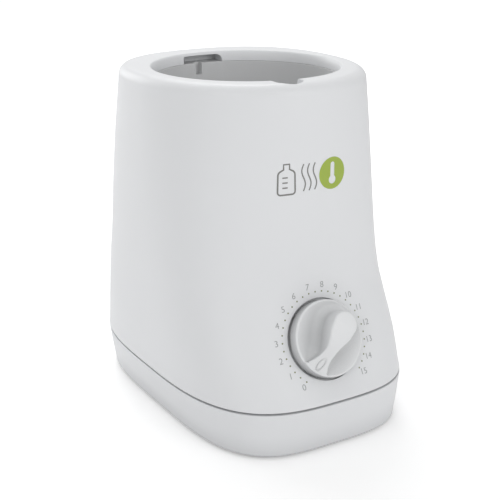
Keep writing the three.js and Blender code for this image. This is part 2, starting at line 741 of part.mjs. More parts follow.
// The knob: a dished disc with a grip across it. The grip is widest and highest opposite the
// pointer and narrows to a neck, then fans out down to the rim at the pointer.
function dialKnob() {
  const face = [0, 0.25, 0.5, 0.75, 1].map((t) => [
    t * (knobRadius - 0.5),
    knobDishHeight + (knobRimHeight - knobDishHeight) * t ** 2,
  ]);
  const body = turned([[0, 0.8], [18.4, 0.8], [18.6, -0.8], [knobSkirtRadius, -0.8],
    [knobRadius, knobRimHeight - 0.4], ...face.reverse()], 40);
  const rim = disc(knobRadius - 0.1, -0.8, 30, 40);
  const hub = disc(6.5, -0.8, 2, 20);
  const grip = solid(gripOutline()).intersect(solid(gripSide())).intersect(solid(rim));
  return cut(join(body, hub, grip), disc(timerShaftRadius + gap, -2, 10, 20));
}

// Seen from the front, with the pointer along +X
function gripOutline() {
  const shape = new THREE.Shape();
  shape.moveTo(-7, 7.05);
  shape.absarc(-7, 0, 7.05, Math.PI / 2, 1.5 * Math.PI);
  shape.bezierCurveTo(0, -7.05, 4, -3.2, 9.5, -3.2);
  shape.bezierCurveTo(14, -3.2, 16, -6, 20.5, -9.5);
  shape.lineTo(20.5, 9.5);
  shape.bezierCurveTo(16, 6, 14, 3.2, 9.5, 3.2);
  shape.bezierCurveTo(4, 3.2, 0, 7.05, -7, 7.05);
  return prism(shape, 1.5, 18, 8).rotateZ(pointerTurn);
}

// Seen from the side, with the pointer along +X and the dial's normal up
function gripSide() {
  const shape = new THREE.Shape();
  shape.moveTo(-16, 1.5);
  shape.lineTo(21, 1.5);
  shape.lineTo(21, knobRimHeight - 0.6);
  shape.bezierCurveTo(15, 9, 12.5, 12.5, 8.5, 13.9);
  shape.bezierCurveTo(4, 15.3, -4, 16.5, -9, 16.5);
  shape.lineTo(-16, 16.5);
  const options = { depth: 40, bevelEnabled: false, curveSegments: 6 };
  const geometry = new THREE.ExtrudeGeometry(shape, options).translate(0, 0, -20).rotateX(Math.PI / 2);
  return geometry.rotateZ(pointerTurn);
}

addPiece("dial_knob", dialKnob(), whiteKnob, dial);

export default warmer;
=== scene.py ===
# Looks of an electric bottle warmer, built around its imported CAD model. Sizes are in millimetres
# unless a note says otherwise, and everything is turned into metres as its mesh is made.
import json
import math
import bmesh
import bpy
from mathutils import Matrix, Vector
from mathutils.bvhtree import BVHTree


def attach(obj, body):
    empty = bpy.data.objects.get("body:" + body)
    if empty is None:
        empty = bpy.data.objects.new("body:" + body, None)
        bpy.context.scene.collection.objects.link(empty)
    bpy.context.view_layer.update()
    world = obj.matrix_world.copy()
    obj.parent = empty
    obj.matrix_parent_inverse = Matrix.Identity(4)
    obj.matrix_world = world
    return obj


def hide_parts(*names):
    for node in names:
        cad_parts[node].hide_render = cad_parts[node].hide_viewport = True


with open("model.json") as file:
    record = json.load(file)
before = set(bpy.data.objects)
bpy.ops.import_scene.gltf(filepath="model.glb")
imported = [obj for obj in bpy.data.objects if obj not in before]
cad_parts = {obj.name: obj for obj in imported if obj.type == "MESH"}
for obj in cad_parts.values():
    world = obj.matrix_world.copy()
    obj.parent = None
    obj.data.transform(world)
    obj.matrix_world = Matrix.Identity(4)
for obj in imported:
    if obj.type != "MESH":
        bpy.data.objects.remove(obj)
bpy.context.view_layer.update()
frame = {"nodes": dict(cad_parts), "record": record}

mm = 0.001
axisRadius = 0.0004  # stands for zero where a turned profile meets its axis


# ---- Case outline: two superelliptic halves, front and back, at every height ----

case = {
    "halfWidth": [(26.8, 66.4), (66, 66.8), (104, 66.5), (143, 65.5), (182, 63.8)],
    "front": [(26.8, -93.9), (33, -89.2), (45, -82.1), (66, -72.4), (79, -67.2), (92, -65.4), (108, -65.1),
              (182, -65.1)],
    "back": [(26.8, 93.9), (66, 93.1), (104, 89.1), (143, 81.9), (182, 71.5)],
    "widest": [(26.8, 0), (182, 4.7)],
    "frontPower": [(26.8, 3.13), (45, 3.45), (70, 3.07), (110, 2.56), (182, 2.1)],
    "backPower": [(26.8, 3.13), (66, 2.75), (104, 2.5), (182, 2.45)],
    "floor": {"halfWidth": 60.2, "front": -90.8, "back": 90.0, "widest": -0.4,
              "frontPower": 3.6, "backPower": 3.8},
    "floorHeight": 1.2,
    "seam": 26.8,
    "seamGap": 1.0,
    "height": 188.2,
    "wall": 2.6,
    "topEdge": 6.0,
    "mouthY": 1.15,
    "columns": 208,
}
levelValues = ["height", "halfWidth", "front", "back", "widest", "frontPower", "backPower"]


def smoothLine(points):  # passes through every point and never overshoots
    slopes = [(b[1] - a[1]) / (b[0] - a[0]) for a, b in zip(points, points[1:])]
    tangents = [slopes[0]]
    for before, after in zip(slopes, slopes[1:]):
        tangents.append(0 if before * after <= 0 else 2 * before * after / (before + after))
    tangents.append(slopes[-1])

    def at(z):
        z = min(max(z, points[0][0]), points[-1][0])
        i = max(k for k in range(len(points) - 1) if points[k][0] <= z)
        span = points[i + 1][0] - points[i][0]
        t = (z - points[i][0]) / span
        rise = points[i + 1][1] - points[i][1]
        return (points[i][1] + rise * t * t * (3 - 2 * t)
                + span * t * (1 - t) * ((1 - t) * tangents[i] - t * tangents[i + 1]))
    return at


caseLines = {name: smoothLine(case[name]) for name in levelValues[1:]}


def caseLevel(z, inset=0.0):  # one outline of the case, moved in by inset
    level = {name: line(z) for name, line in caseLines.items()}
    if z < case["seam"]:
        t = (case["seam"] - z) / (case["seam"] - case["floorHeight"])
        level = {name: value + (case["floor"][name] - value) * min(t, 1) for name, value in level.items()}
    level["halfWidth"] -= inset
    level["front"] += inset
    level["back"] -= inset
    level["height"] = z
    return level


def roundLevel(z, radius, centreY=0.0):
    return {"height": z, "halfWidth": radius, "front": centreY - radius, "back": centreY + radius,
            "widest": centreY, "frontPower": 2.0, "backPower": 2.0}


def mixLevels(a, b, t):
    return {name: a[name] + (b[name] - a[name]) * t for name in levelValues}


def span(start, end, count):  # count values from start to end, both ends in
    return [start + (end - start) * i / (count - 1) for i in range(count)]


# ---- Node tools ----

class NodeMaker:  # adds nodes to one tree; a value that is a socket is joined, any other is set
    def __init__(self, tree):
        self.tree = tree

    def put(self, value, socket):
        if isinstance(value, bpy.types.NodeSocket):
            self.tree.links.new(value, socket)
        else:
            socket.default_value = value

    def add(self, kind, inputs=None, **settings):
        node = self.tree.nodes.new(kind)
        for key, value in settings.items():
            setattr(node, key, value)
        for key, value in (inputs or {}).items():
            self.put(value, node.inputs[key])
        return node

    def first(self, kind, inputs=None, **settings):  # the first output of a new node
        return self.add(kind, inputs, **settings).outputs[0]

    def calc(self, operation, *values):
        return self.first("ShaderNodeMath", dict(enumerate(values)), operation=operation)

    def vector(self, *values):
        return self.first("ShaderNodeCombineXYZ", dict(enumerate(values)))

    def moved(self, geometry, place):  # every point put at its place
        return self.first("GeometryNodeSetPosition", {"Geometry": geometry, "Position": place})

    def copies(self, points, shape, **extra):  # the shape set on every point
        return self.first("GeometryNodeInstanceOnPoints", {"Points": points, "Instance": shape, **extra})

    def cut(self, solid, tool):
        node = self.add("GeometryNodeMeshBoolean", operation="DIFFERENCE", solver="EXACT")
        self.put(solid, node.inputs["Mesh 1"])
        self.put(tool, node.inputs["Mesh 2"])
        return node.outputs["Mesh"]

    def finish(self, geometry, material, output):  # every build ends in plain faces with a material
        plain = self.first("GeometryNodeRealizeInstances", {0: geometry})
        self.put(self.first("GeometryNodeSetMaterial", {"Geometry": plain, "Material": material}), output)


valueKinds = {float: "Float", int: "Int", tuple: "Color"}


def newTree(name, kind, inputs, outputs):  # an input is given by its value, or by its kind if it has none
    tree = bpy.data.node_groups.new(name, kind)
    for label, value in inputs.items():
        bare = isinstance(value, str)
        socketType = "NodeSocket" + (value if bare else valueKinds[type(value)])
        socket = tree.interface.new_socket(label, in_out="INPUT", socket_type=socketType)
        if not bare:
            socket.default_value = value
    for label, socketKind in outputs.items():
        tree.interface.new_socket(label, in_out="OUTPUT", socket_type="NodeSocket" + socketKind)
    given, result = tree.nodes.new("NodeGroupInput"), tree.nodes.new("NodeGroupOutput")
    return NodeMaker(tree), given.outputs, result.inputs


def shapeTree(name, inputs):  # a tree that takes and gives geometry
    return newTree(name, "GeometryNodeTree", {**inputs, "Material": "Material"}, {"Geometry": "Geometry"})


def placed(name, data):  # an object in the scene
    thing = bpy.data.objects.new(name, data)
    bpy.context.scene.collection.objects.link(thing)
    return thing


def keptMesh(name, work):  # what the work object's modifiers make, as a plain mesh
    bpy.context.view_layer.update()
    built = bpy.data.meshes.new_from_object(work.evaluated_get(bpy.context.evaluated_depsgraph_get()))
    built.name = name
    work.modifiers.clear()
    bpy.data.objects.remove(work)
    return built


def runTree(name, tree, host, values):  # evaluates a tree on a host mesh
    bench = placed(name + "Bench", host)
    modifier = bench.modifiers.new("build", "NODES")
    modifier.node_group = tree
    for item in tree.interface.items_tree:
        if item.item_type == "SOCKET" and item.in_out == "INPUT" and item.name in values:
            modifier[item.identifier] = values[item.name]
    return keptMesh(name, bench)


# ---- The loft tree: a skin through outline levels, for the case and every turned piece ----

def makeLoftTree():
    make, given, result = shapeTree("outlineLoft", {"Levels": "Geometry", "Columns": 64})
    calc = make.calc
    rows = make.add("GeometryNodeAttributeDomainSize", {0: given["Levels"]}).outputs["Point Count"]
    grid = make.add("GeometryNodeMeshGrid", {
        "Size X": 1, "Size Y": 1, "Vertices X": calc("ADD", given["Columns"], 1), "Vertices Y": rows})
    place = make.add("ShaderNodeSeparateXYZ", {0: make.first("GeometryNodeInputPosition")}).outputs
    angle = calc("MULTIPLY", calc("ADD", place[0], 0.5), 2 * math.pi)
    row = calc("ROUND", calc("MULTIPLY", calc("ADD", place[1], 0.5), calc("SUBTRACT", rows, 1)))

    def levelValue(name):
        value = make.first("GeometryNodeInputNamedAttribute", {"Name": name}, data_type="FLOAT")
        return make.first("GeometryNodeSampleIndex", {
            "Geometry": given["Levels"], "Value": value, "Index": row}, data_type="FLOAT")

    level = {name: levelValue(name) for name in levelValues}
    across = calc("COSINE", angle)
    along = calc("SINE", angle)
    isBack = calc("GREATER_THAN", along, 0)

    def choose(front, back):  # front + isBack * (back - front)
        return calc("ADD", front, calc("MULTIPLY", isBack, calc("SUBTRACT", back, front)))

    reach = choose(calc("SUBTRACT", level["widest"], level["front"]),
                   calc("SUBTRACT", level["back"], level["widest"]))
    power = choose(level["frontPower"], level["backPower"])
    sides = [calc("POWER", calc("ABSOLUTE", calc("DIVIDE", a, b)), power)
             for a, b in ((across, level["halfWidth"]), (along, reach))]
    radius = calc("POWER", calc("ADD", *sides), calc("DIVIDE", -1, power))
    spot = make.vector(calc("MULTIPLY", radius, across),
                       calc("ADD", level["widest"], calc("MULTIPLY", radius, along)), level["height"])
    moved = make.moved(grid.outputs["Mesh"], spot)
    welded = make.first("GeometryNodeMergeByDistance", {"Geometry": moved, "Distance": 0.002 * mm})
    make.finish(welded, given["Material"], result[0])
    return make.tree


loftTree = makeLoftTree()


def loftMesh(name, levels, columns):  # levels run up the outside, so that faces look out
    host = bpy.data.meshes.new(name + "Levels")
    count = len(levels)
    host.from_pydata([(0, 0, i) for i in range(count)], [(i, i + 1) for i in range(count - 1)], [])
    for key in levelValues:
        scale = 1 if key.endswith("Power") else mm
        attribute = host.attributes.new(key, "FLOAT", "POINT")
        attribute.data.foreach_set("value", [level[key] * scale for level in levels])
    return runTree(name, loftTree, host, {"Columns": columns})


def turnedMesh(name, profile, columns, centreY=0.0):  # (radius, height) points, closed or on the axis
    levels = [roundLevel(height, max(radius, axisRadius), centreY) for radius, height in profile]
    return loftMesh(name, levels, columns)


def discMesh(radius, bottom, top, columns):
    return turnedMesh("disc", [(0, bottom), (radius, bottom), (radius, top), (0, top)], columns)


def arcPoints(x, y, radius, start, end, count):  # angles in degrees
    angles = [math.radians(angle) for angle in span(start, end, count)]
    return [(x + radius * math.cos(a), y + radius * math.sin(a)) for a in angles]


def prismMesh(name, outline, bottom, top):  # a flat outline pushed up from bottom to top
    count = len(outline)
    points = [(x * mm, y * mm, z * mm) for z in (bottom, top) for x, y in outline]
    sides = [(i, (i + 1) % count, (i + 1) % count + count, i + count) for i in range(count)]
    caps = [tuple(reversed(range(count))), tuple(range(count, 2 * count))]
    mesh = bpy.data.meshes.new(name)
    mesh.from_pydata(points, [], caps + sides)
    return mesh


# ---- Piece tools ----

def joined(name, meshes, matrix=Matrix.Identity(4)):
    pool = bmesh.new()
    for mesh in meshes:
        pool.from_mesh(mesh)
    bmesh.ops.transform(pool, matrix=matrix, verts=pool.verts)
    return poolMesh(name, pool)


def poolMesh(name, pool):
    mesh = bpy.data.meshes.new(name)
    pool.to_mesh(mesh)
    pool.free()
    return mesh


def addPiece(name, mesh, finish, body, *nodes):  # a piece in its finish, which stands for CAD nodes
    mesh.materials.clear()
    mesh.materials.append(materials[finish])
    piece = placed(name, mesh)
    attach(piece, body)
    if nodes:
        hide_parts(*nodes)


def carved(name, mesh, steps):  # steps are (operation, tool mesh), applied in turn
    work = placed(name + "Work", mesh)
    tools = []
    for operation, toolMesh in steps:
        tools.append(placed(name + "Tool", toolMesh))
        modifier = work.modifiers.new("carve", "BOOLEAN")
        modifier.operation = operation
        modifier.solver = "EXACT"
        modifier.object = tools[-1]
    built = keptMesh(name, work)
    for tool in tools:
        bpy.data.objects.remove(tool)
    return built


def softened(name, mesh, width, angle=34.0):  # rounds the sharp edges, then evens the shading
    work = placed(name + "Work", mesh)
    if width:
        bevel = work.modifiers.new("edges", "BEVEL")
        bevel.width = width * mm
        bevel.segments = 2
        bevel.limit_method = "ANGLE"
        bevel.angle_limit = math.radians(angle)
        bevel.use_clamp_overlap = True
    built = keptMesh(name, work)
    built.shade_smooth()
    built.set_sharp_from_angle(angle=math.radians(angle))
    work = placed(name + "Work", built)
    weighted = work.modifiers.new("shading", "WEIGHTED_NORMAL")  # large flat faces keep their normals
    weighted.mode = "FACE_AREA"
    weighted.keep_sharp = True
    return keptMesh(name, work)


# ---- Shared shader effects ----

effectOutputs = {"Colour": "Color", "Roughness": "Float", "Height": "Float"}


def makeMouldSkin():  # fine grain and slow tone drift of a moulded surface, and painted shade that darkens its hollows
    make, given, result = newTree("mouldSkinAndPaintedShade", "ShaderNodeTree", {
        "Vector": "Vector", "Colour": (0.8, 0.8, 0.8, 1), "Tone drift": 0.05, "Grain size": 0.3,
        "Roughness": 0.5, "Roughness drift": 0.08, "Painted recess shade": 0.0,
    }, effectOutputs)
    calc = make.calc
    slow = make.first("ShaderNodeTexNoise", {"Scale": 14, "Detail": 3, "Vector": given["Vector"]})
    fineScale = calc("DIVIDE", 1 / mm, given["Grain size"])
    fine = make.first("ShaderNodeTexNoise", {"Scale": fineScale, "Detail": 2, "Vector": given["Vector"]})
    drift = calc("MULTIPLY", calc("SUBTRACT", slow, 0.5), given["Tone drift"])
    tone = make.first("ShaderNodeHueSaturation", {
        "Value": calc("ADD", 1, calc("MULTIPLY", drift, 2)), "Color": given["Colour"]})
    # painted shade: ambient occlusion darkens the colour in hollows and creases, where shade falls
    recess = make.add("ShaderNodeAmbientOcclusion", {"Distance": 14 * mm, "Color": tone}, samples=8)
    shaded = make.add("ShaderNodeMix", data_type="RGBA")
    sockets = {socket.identifier: socket for socket in [*shaded.inputs, *shaded.outputs]}
    make.put(given["Painted recess shade"], sockets["Factor_Float"])
    make.put(tone, sockets["A_Color"])
    make.put(recess.outputs["Color"], sockets["B_Color"])
    make.put(sockets["Result_Color"], result["Colour"])
    mixed = calc("MULTIPLY", calc("SUBTRACT", calc("ADD", slow, fine), 1), given["Roughness drift"])
    make.put(calc("ADD", given["Roughness"], mixed), result["Roughness"])
    make.put(fine, result["Height"])
    return make.tree


def makeBrushing():  # drawn lines along one direction of a metal
    make, given, result = newTree("brushing", "ShaderNodeTree", {
        "Vector": "Vector", "Colour": (0.6, 0.6, 0.6, 1), "Line size": 0.3, "Contrast": 0.12,
        "Roughness": 0.3,
    }, effectOutputs)
    calc = make.calc
    stretch = make.first("ShaderNodeMapping", {"Scale": (0.04, 1, 1), "Vector": given["Vector"]})
    lines = make.first("ShaderNodeTexNoise", {
        "Scale": calc("DIVIDE", 1 / mm, given["Line size"]), "Detail": 4, "Vector": stretch})
    centred = calc("MULTIPLY", calc("SUBTRACT", lines, 0.5), given["Contrast"])
    tone = make.first("ShaderNodeHueSaturation", {
        "Value": calc("ADD", 1, calc("MULTIPLY", centred, 2)), "Color": given["Colour"]})
    make.put(tone, result["Colour"])
    make.put(calc("ADD", given["Roughness"], centred), result["Roughness"])
    make.put(lines, result["Height"])
    return make.tree


shaderGroups = {"mouldSkinAndPaintedShade": makeMouldSkin(), "brushing": makeBrushing()}


def finishMaterial(name, group, colour, values, bump, **shader):  # shader: plain values for the shader
    material = bpy.data.materials.new(name)
    material.use_nodes = True
    make = NodeMaker(material.node_tree)
    surface = make.tree.nodes["Principled BSDF"].inputs
    effect = make.add("ShaderNodeGroup", node_tree=shaderGroups[group])
    place = make.add("ShaderNodeTexCoord").outputs["Object"]
    for key, value in {"Vector": place, "Colour": (*colour, 1), **values}.items():
        make.put(value, effect.inputs[key])
    make.put(effect.outputs["Colour"], surface["Base Color"])
    make.put(effect.outputs["Roughness"], surface["Roughness"])
    relief = {"Strength": bump, "Distance": 0.05 * mm, "Height": effect.outputs["Height"]}
    make.put(make.first("ShaderNodeBump", relief), surface["Normal"])
    for key, value in shader.items():
        surface[key].default_value = value
    return material


# recess sets the strength of the painted shade in hollows
skinInputs = {"drift": "Tone drift", "grain": "Grain size", "rough": "Roughness",
              "roughDrift": "Roughness drift", "recess": "Painted recess shade"}


def moulded(name, colour, bump, shader=(), **values):
    values = {skinInputs[key]: value for key, value in values.items()}
    return finishMaterial(name, "mouldSkinAndPaintedShade", colour, values, bump, **dict(shader))


materials = {
    # painted shade: recess darkens the colour in hollows, a little on the case and almost fully on the knob
    "case_white": moulded("caseWhite", (0.80, 0.81, 0.825), 0.06,
                          {"Coat Weight": 0.12, "Coat Roughness": 0.3},
                          drift=0.012, grain=0.5, roughDrift=0.05, recess=0.25),
    "knob_white": moulded("knobWhite", (0.79, 0.80, 0.81), 0.06,
                          {"Coat Weight": 0.15, "Coat Roughness": 0.25}, drift=0.012,
                          grain=0.4, rough=0.42, roughDrift=0.05, recess=0.95),
    "bath_grey": moulded("bathGrey", (0.63, 0.635, 0.64), 0.15, grain=0.7, roughDrift=0.1),
    "inner_grey": moulded("innerGrey", (0.3, 0.31, 0.32), 0.2, grain=0.6, roughDrift=0.1),
    "timer_black": moulded("timerBlack", (0.02, 0.021, 0.023), 0.2,
                           drift=0.1, grain=0.5, rough=0.45, roughDrift=0.1),
    "black_rubber": moulded("blackRubber", (0.018, 0.018, 0.019), 0.5,
                            drift=0.15, grain=0.35, rough=0.8, roughDrift=0.15),
    "clear_silicone": moulded("milkySilicone", (0.6, 0.58, 0.53), 0.2,
                              {"Subsurface Weight": 0.3, "Subsurface Scale": 1.0 * mm},
                              grain=0.8, rough=0.55, roughDrift=0.1),
    "stainless": finishMaterial("stainlessSteel", "brushing", (0.62, 0.62, 0.61), {
        "Line size": 0.25, "Contrast": 0.14, "Roughness": 0.26}, 0.25, Metallic=1.0),
    "zinc_steel": finishMaterial("zincSteel", "brushing", (0.5, 0.51, 0.52), {
        "Line size": 0.8, "Contrast": 0.2, "Roughness": 0.38}, 0.2, Metallic=1.0),
    "ceramic": moulded("ceramic", (0.72, 0.69, 0.62), 0.3,
                       drift=0.04, rough=0.6, roughDrift=0.12),
    "inkGrey": moulded("inkGrey", (0.22, 0.22, 0.21), 0.1, drift=0.08),
    "inkPale": moulded("inkPale", (0.34, 0.345, 0.35), 0.1, drift=0.08),
    "inkOlive": moulded("inkOlive", (0.22, 0.24, 0.12), 0.1, drift=0.06),
    "inkGreen": moulded("inkGreen", (0.36, 0.47, 0.07), 0.1, drift=0.06, rough=0.45),
}

slotOf = {row["node"]: row["material_slot"] for row in frame["record"]["subparts"]}
for nodeName, nodeObject in frame["nodes"].items():
    nodeObject.data.materials.clear()
    nodeObject.data.materials.append(materials[slotOf[nodeName]])
print("stage: CAD nodes painted", len(slotOf))


# ---- Camera, lights and floor ----

view = {
    "place": (-0.301587, -0.497795, 0.282226),  # metres
    "look": (0.49206744, 0.80772005, -0.32474291),
    "lens": 77.52,
}
camera = placed("camera", bpy.data.cameras.new("camera"))
camera.location = view["place"]
camera.rotation_euler = Vector(view["look"]).to_track_quat("-Z", "Y").to_euler()
camera.data.lens = view["lens"]
camera.data.sensor_width = 36
bpy.context.scene.camera = camera
bpy.context.scene.view_settings.view_transform = "Standard"

studio = {
    "sky": 0.54,  # light from all round
    "backdrop": 1.0,  # what the camera sees behind
    "floorColour": (0.93, 0.93, 0.93, 1),
    "floorGlow": (0.24, 0.5),  # beside the case and far from it; the weaker glow beside the case paints a soft shadow round it
    "glowReach": (0.12, 0.7),  # metres from the case's middle
    "floorReach": 4.0,  # metres
    "lamps": [  # name, place and target in metres, size, watts
        ("topLamp", (-0.2, 0.25, 1.5), (0, 0, 0.12), 1.2, 2.7),
        ("rearLamp", (-0.5, 1.6, 0.6), (0, 0, 0.1), 0.8, 7.0),
        ("keyLamp", (-1.3, -1.1, 0.9), (0, 0, 0.1), 0.6, 3.5),
        ("rimLamp", (0.35, 0.95, 1.3), (0, 0, 0.15), 0.8, 6.5),
        ("frontLamp", (0.6, -1.5, 0.7), (0, 0, 0.1), 0.9, 5.1),
    ],
}


def makeStudio():
    world = bpy.data.worlds.new("studio")
    bpy.context.scene.world = world
    world.use_nodes = True
    make = NodeMaker(world.node_tree)
    make.tree.nodes.clear()
    sky, backdrop = [make.first("ShaderNodeBackground", {"Color": (1, 1, 1, 1), "Strength": studio[key]})
                     for key in ("sky", "backdrop")]
    seen = make.add("ShaderNodeLightPath").outputs["Is Camera Ray"]
    chosen = make.first("ShaderNodeMixShader", {0: seen, 1: sky, 2: backdrop})
    make.add("ShaderNodeOutputWorld", {"Surface": chosen})
    for name, place, target, size, watts in studio["lamps"]:
        lamp = bpy.data.lights.new(name, "AREA")
        lamp.size = size
        lamp.energy = watts
        holder = placed(name, lamp)
        holder.location = place
        holder.rotation_euler = (Vector(target) - Vector(place)).to_track_quat("-Z", "Y").to_euler()
    floorMesh = bpy.data.meshes.new("floor")
    far = studio["floorReach"]
    corners = [(x * far, y * far, 0) for x, y in ((-1, -1), (1, -1), (1, 1), (-1, 1))]
    floorMesh.from_pydata(corners, [], [(0, 1, 2, 3)])
    floorMesh.materials.append(makePaper())
    placed("floor", floorMesh)


def makePaper():  # its glow is for the camera alone, so that it brightens the paper and not the case; it is weaker near the case, a painted shadow round it
    paper = bpy.data.materials.new("floorPaper")
    paper.use_nodes = True
    make = NodeMaker(paper.node_tree)
    place = make.add("ShaderNodeTexCoord").outputs["Object"]
    distance = make.add("ShaderNodeVectorMath", {0: place}, operation="LENGTH").outputs["Value"]
    # painted shadow: the glow falls off towards the case, so the paper looks darker round its base
    paintedShadowGlow = make.first("ShaderNodeMapRange", {
        "Value": distance, "From Min": studio["glowReach"][0], "From Max": studio["glowReach"][1],
        "To Min": studio["floorGlow"][0], "To Max": studio["floorGlow"][1]})
    seen = make.add("ShaderNodeLightPath").outputs["Is Camera Ray"]
    values = {"Base Color": studio["floorColour"], "Roughness": 0.9, "Specular IOR Level": 0.1,
              "Emission Color": (1, 1, 1, 1), "Emission Strength": make.calc("MULTIPLY", seen, paintedShadowGlow)}
    for key, value in values.items():
        make.put(value, make.tree.nodes["Principled BSDF"].inputs[key])
    return paper


makeStudio()
print("stage: camera, lights and floor")


# ---- Dial frame: x right, y up the dial, z out of it ----

dial = {
    "centre": (0, -77, 56),
    "lean": 24.9,  # degrees back from upright
    "wellRadius": 21.7,
    "wellDepth": 2.0,
    "zeroAngle": -138.45,  # degrees clockwise from straight up
}
dialMatrix = (Matrix.Translation(Vector(dial["centre"]) * mm)
              @ Matrix.Rotation(math.radians(90 - dial["lean"]), 4, "X"))
dialNormal = dialMatrix.to_3x3() @ Vector((0, 0, 1))
toFront = Matrix.Rotation(math.pi / 2, 4, "X")  # turns up into the front, and +Y into up


def shiftedBy(x, y, z):
    return Matrix.Translation((x * mm, y * mm, z * mm))


# ---- Upper housing ----

housing = {
    "seamEdge": 0.4,
    "edgeSteps": 9,
    "mouthRadius": 52.2,
    "throatRadius": 50.4,
    "lipDepth": 5.8,
    "notch": {"x": -8.3, "y": -53.2, "radius": 7.5, "floor": 183.9},
    "pocket": {"left": -12.2, "right": 13.0, "back": 59.0, "top": 186.5, "corner": 3.5,
               "leftCorner": 1.0},
    "dialPad": {"radius": 24.7, "top": -0.9, "thickness": 3.5},
    "shaftHole": 5.0,
    "posts": [(-47, -66), (47, -66), (-47, 70), (47, 70)],  # the base is screwed up into them
    "softEdge": 0.35,
}


def makeHousing():
    top = case["height"]
    bottom = case["seam"] + case["seamGap"] / 2
    edge = housing["seamEdge"]
    corner = case["topEdge"]
    wall = case["wall"]
    mouthY = case["mouthY"]
    collar = top - housing["lipDepth"]
    levels = [caseLevel(bottom, edge + 0.3), caseLevel(bottom + 0.05, edge * 0.5), caseLevel(bottom + edge)]
    levels += [caseLevel(z) for z in span(bottom + 1.6, 110, 36)]
    levels += [caseLevel(z) for z in span(115, top - corner, 13)]
    for i in range(1, housing["edgeSteps"] + 1):
        a = math.pi / 2 * i / housing["edgeSteps"]
        levels.append(caseLevel(top - corner * (1 - math.sin(a)), corner * (1 - math.cos(a))))
    shoulder = levels[-1]
    mouth = roundLevel(top, housing["mouthRadius"], mouthY)
    levels += [mixLevels(shoulder, mouth, t) for t in (0.3, 0.6, 0.85)]
    for i in range(housing["edgeSteps"] + 1):
        a = math.pi / 2 * i / housing["edgeSteps"]
        radius = housing["mouthRadius"] - (housing["mouthRadius"] - housing["throatRadius"]) * math.sin(a)
        levels.append(roundLevel(collar + housing["lipDepth"] * math.cos(a), radius, mouthY))
    inner = caseLevel(collar, wall)
    levels += [mixLevels(roundLevel(collar, housing["throatRadius"], mouthY), inner, t) for t in (0.5, 1)]
    levels += [caseLevel(z, wall) for z in (175, 146, 110, 94, 84, 76, 68, 60, 52, 45, 38, 32, bottom)]
    levels.append(levels[0])
    shell = loftMesh("housingShell", levels, case["columns"])

    size = housing["dialPad"]
    pad = discMesh(size["radius"], size["top"] - size["thickness"], size["top"], 96)
    well = discMesh(dial["wellRadius"], -dial["wellDepth"], 12, 128)
    hole = discMesh(housing["shaftHole"], -10, 1, 48)
    notch = housing["notch"]
    arc = [(notch["radius"] * math.cos(a), notch["radius"] * math.sin(a)) for a in span(-math.pi, 0, 33)]
    arc += [(notch["radius"], 12), (-notch["radius"], 12)]
    outline = [(notch["x"] + x, notch["y"] + y) for x, y in arc]
    notchTool = prismMesh("notchTool", outline, notch["floor"], top + 2)
    return carved("housing", shell, [
        ("UNION", joined("dialPadTool", [pad], dialMatrix)),
        ("DIFFERENCE", joined("dialWellTool", [well], dialMatrix)),
        ("DIFFERENCE", joined("dialHoleTool", [hole], dialMatrix)),
        ("DIFFERENCE", notchTool),
        ("DIFFERENCE", makePocketTool()),
    ])


def makePocketTool():  # lies on its back: the outline is x and height, and it is pushed along -Y
    pocket = housing["pocket"]
    low = case["height"] - housing["lipDepth"] - 1
    outline = [(pocket["left"], low), (pocket["right"], low)]
    right, left = pocket["corner"], pocket["leftCorner"]
    outline += arcPoints(pocket["right"] - right, pocket["top"] - right, right, 0, 90, 9)
    outline += arcPoints(pocket["left"] + left, pocket["top"] - left, left, 90, 180, 9)
    place = shiftedBy(0, pocket["back"], 0) @ toFront
    return joined("pocket", [prismMesh("pocketTool", outline, 0, 16)], place)


housingMesh = softened("housing", makeHousing(), housing["softEdge"])
addPiece("upperHousing", housingMesh, "case_white", "case", "upper_housing")
print("stage: upper housing", len(housingMesh.polygons))


# ---- Base shell ----

base = {
    "bottomEdge": 1.5,
    "seamEdge": 0.4,
    "tongue": {"inset": 3.0, "thickness": 1.8, "top": 29.3},
    "footPocket": {"radius": 7.3, "depth": 1.0},
    "screwPocket": {"radius": 2.7, "depth": 2.4},
    "inlet": {"height": 14.0, "seat": 90.8, "radius": 5.7, "flangeRadius": 8.7},
    "floorTop": 4.0,
    "softEdge": 0.25,
}
feet = {"across": 68.0, "along": 124.0, "radius": 7.0, "height": 1.9, "edge": 0.6, "columns": 48}


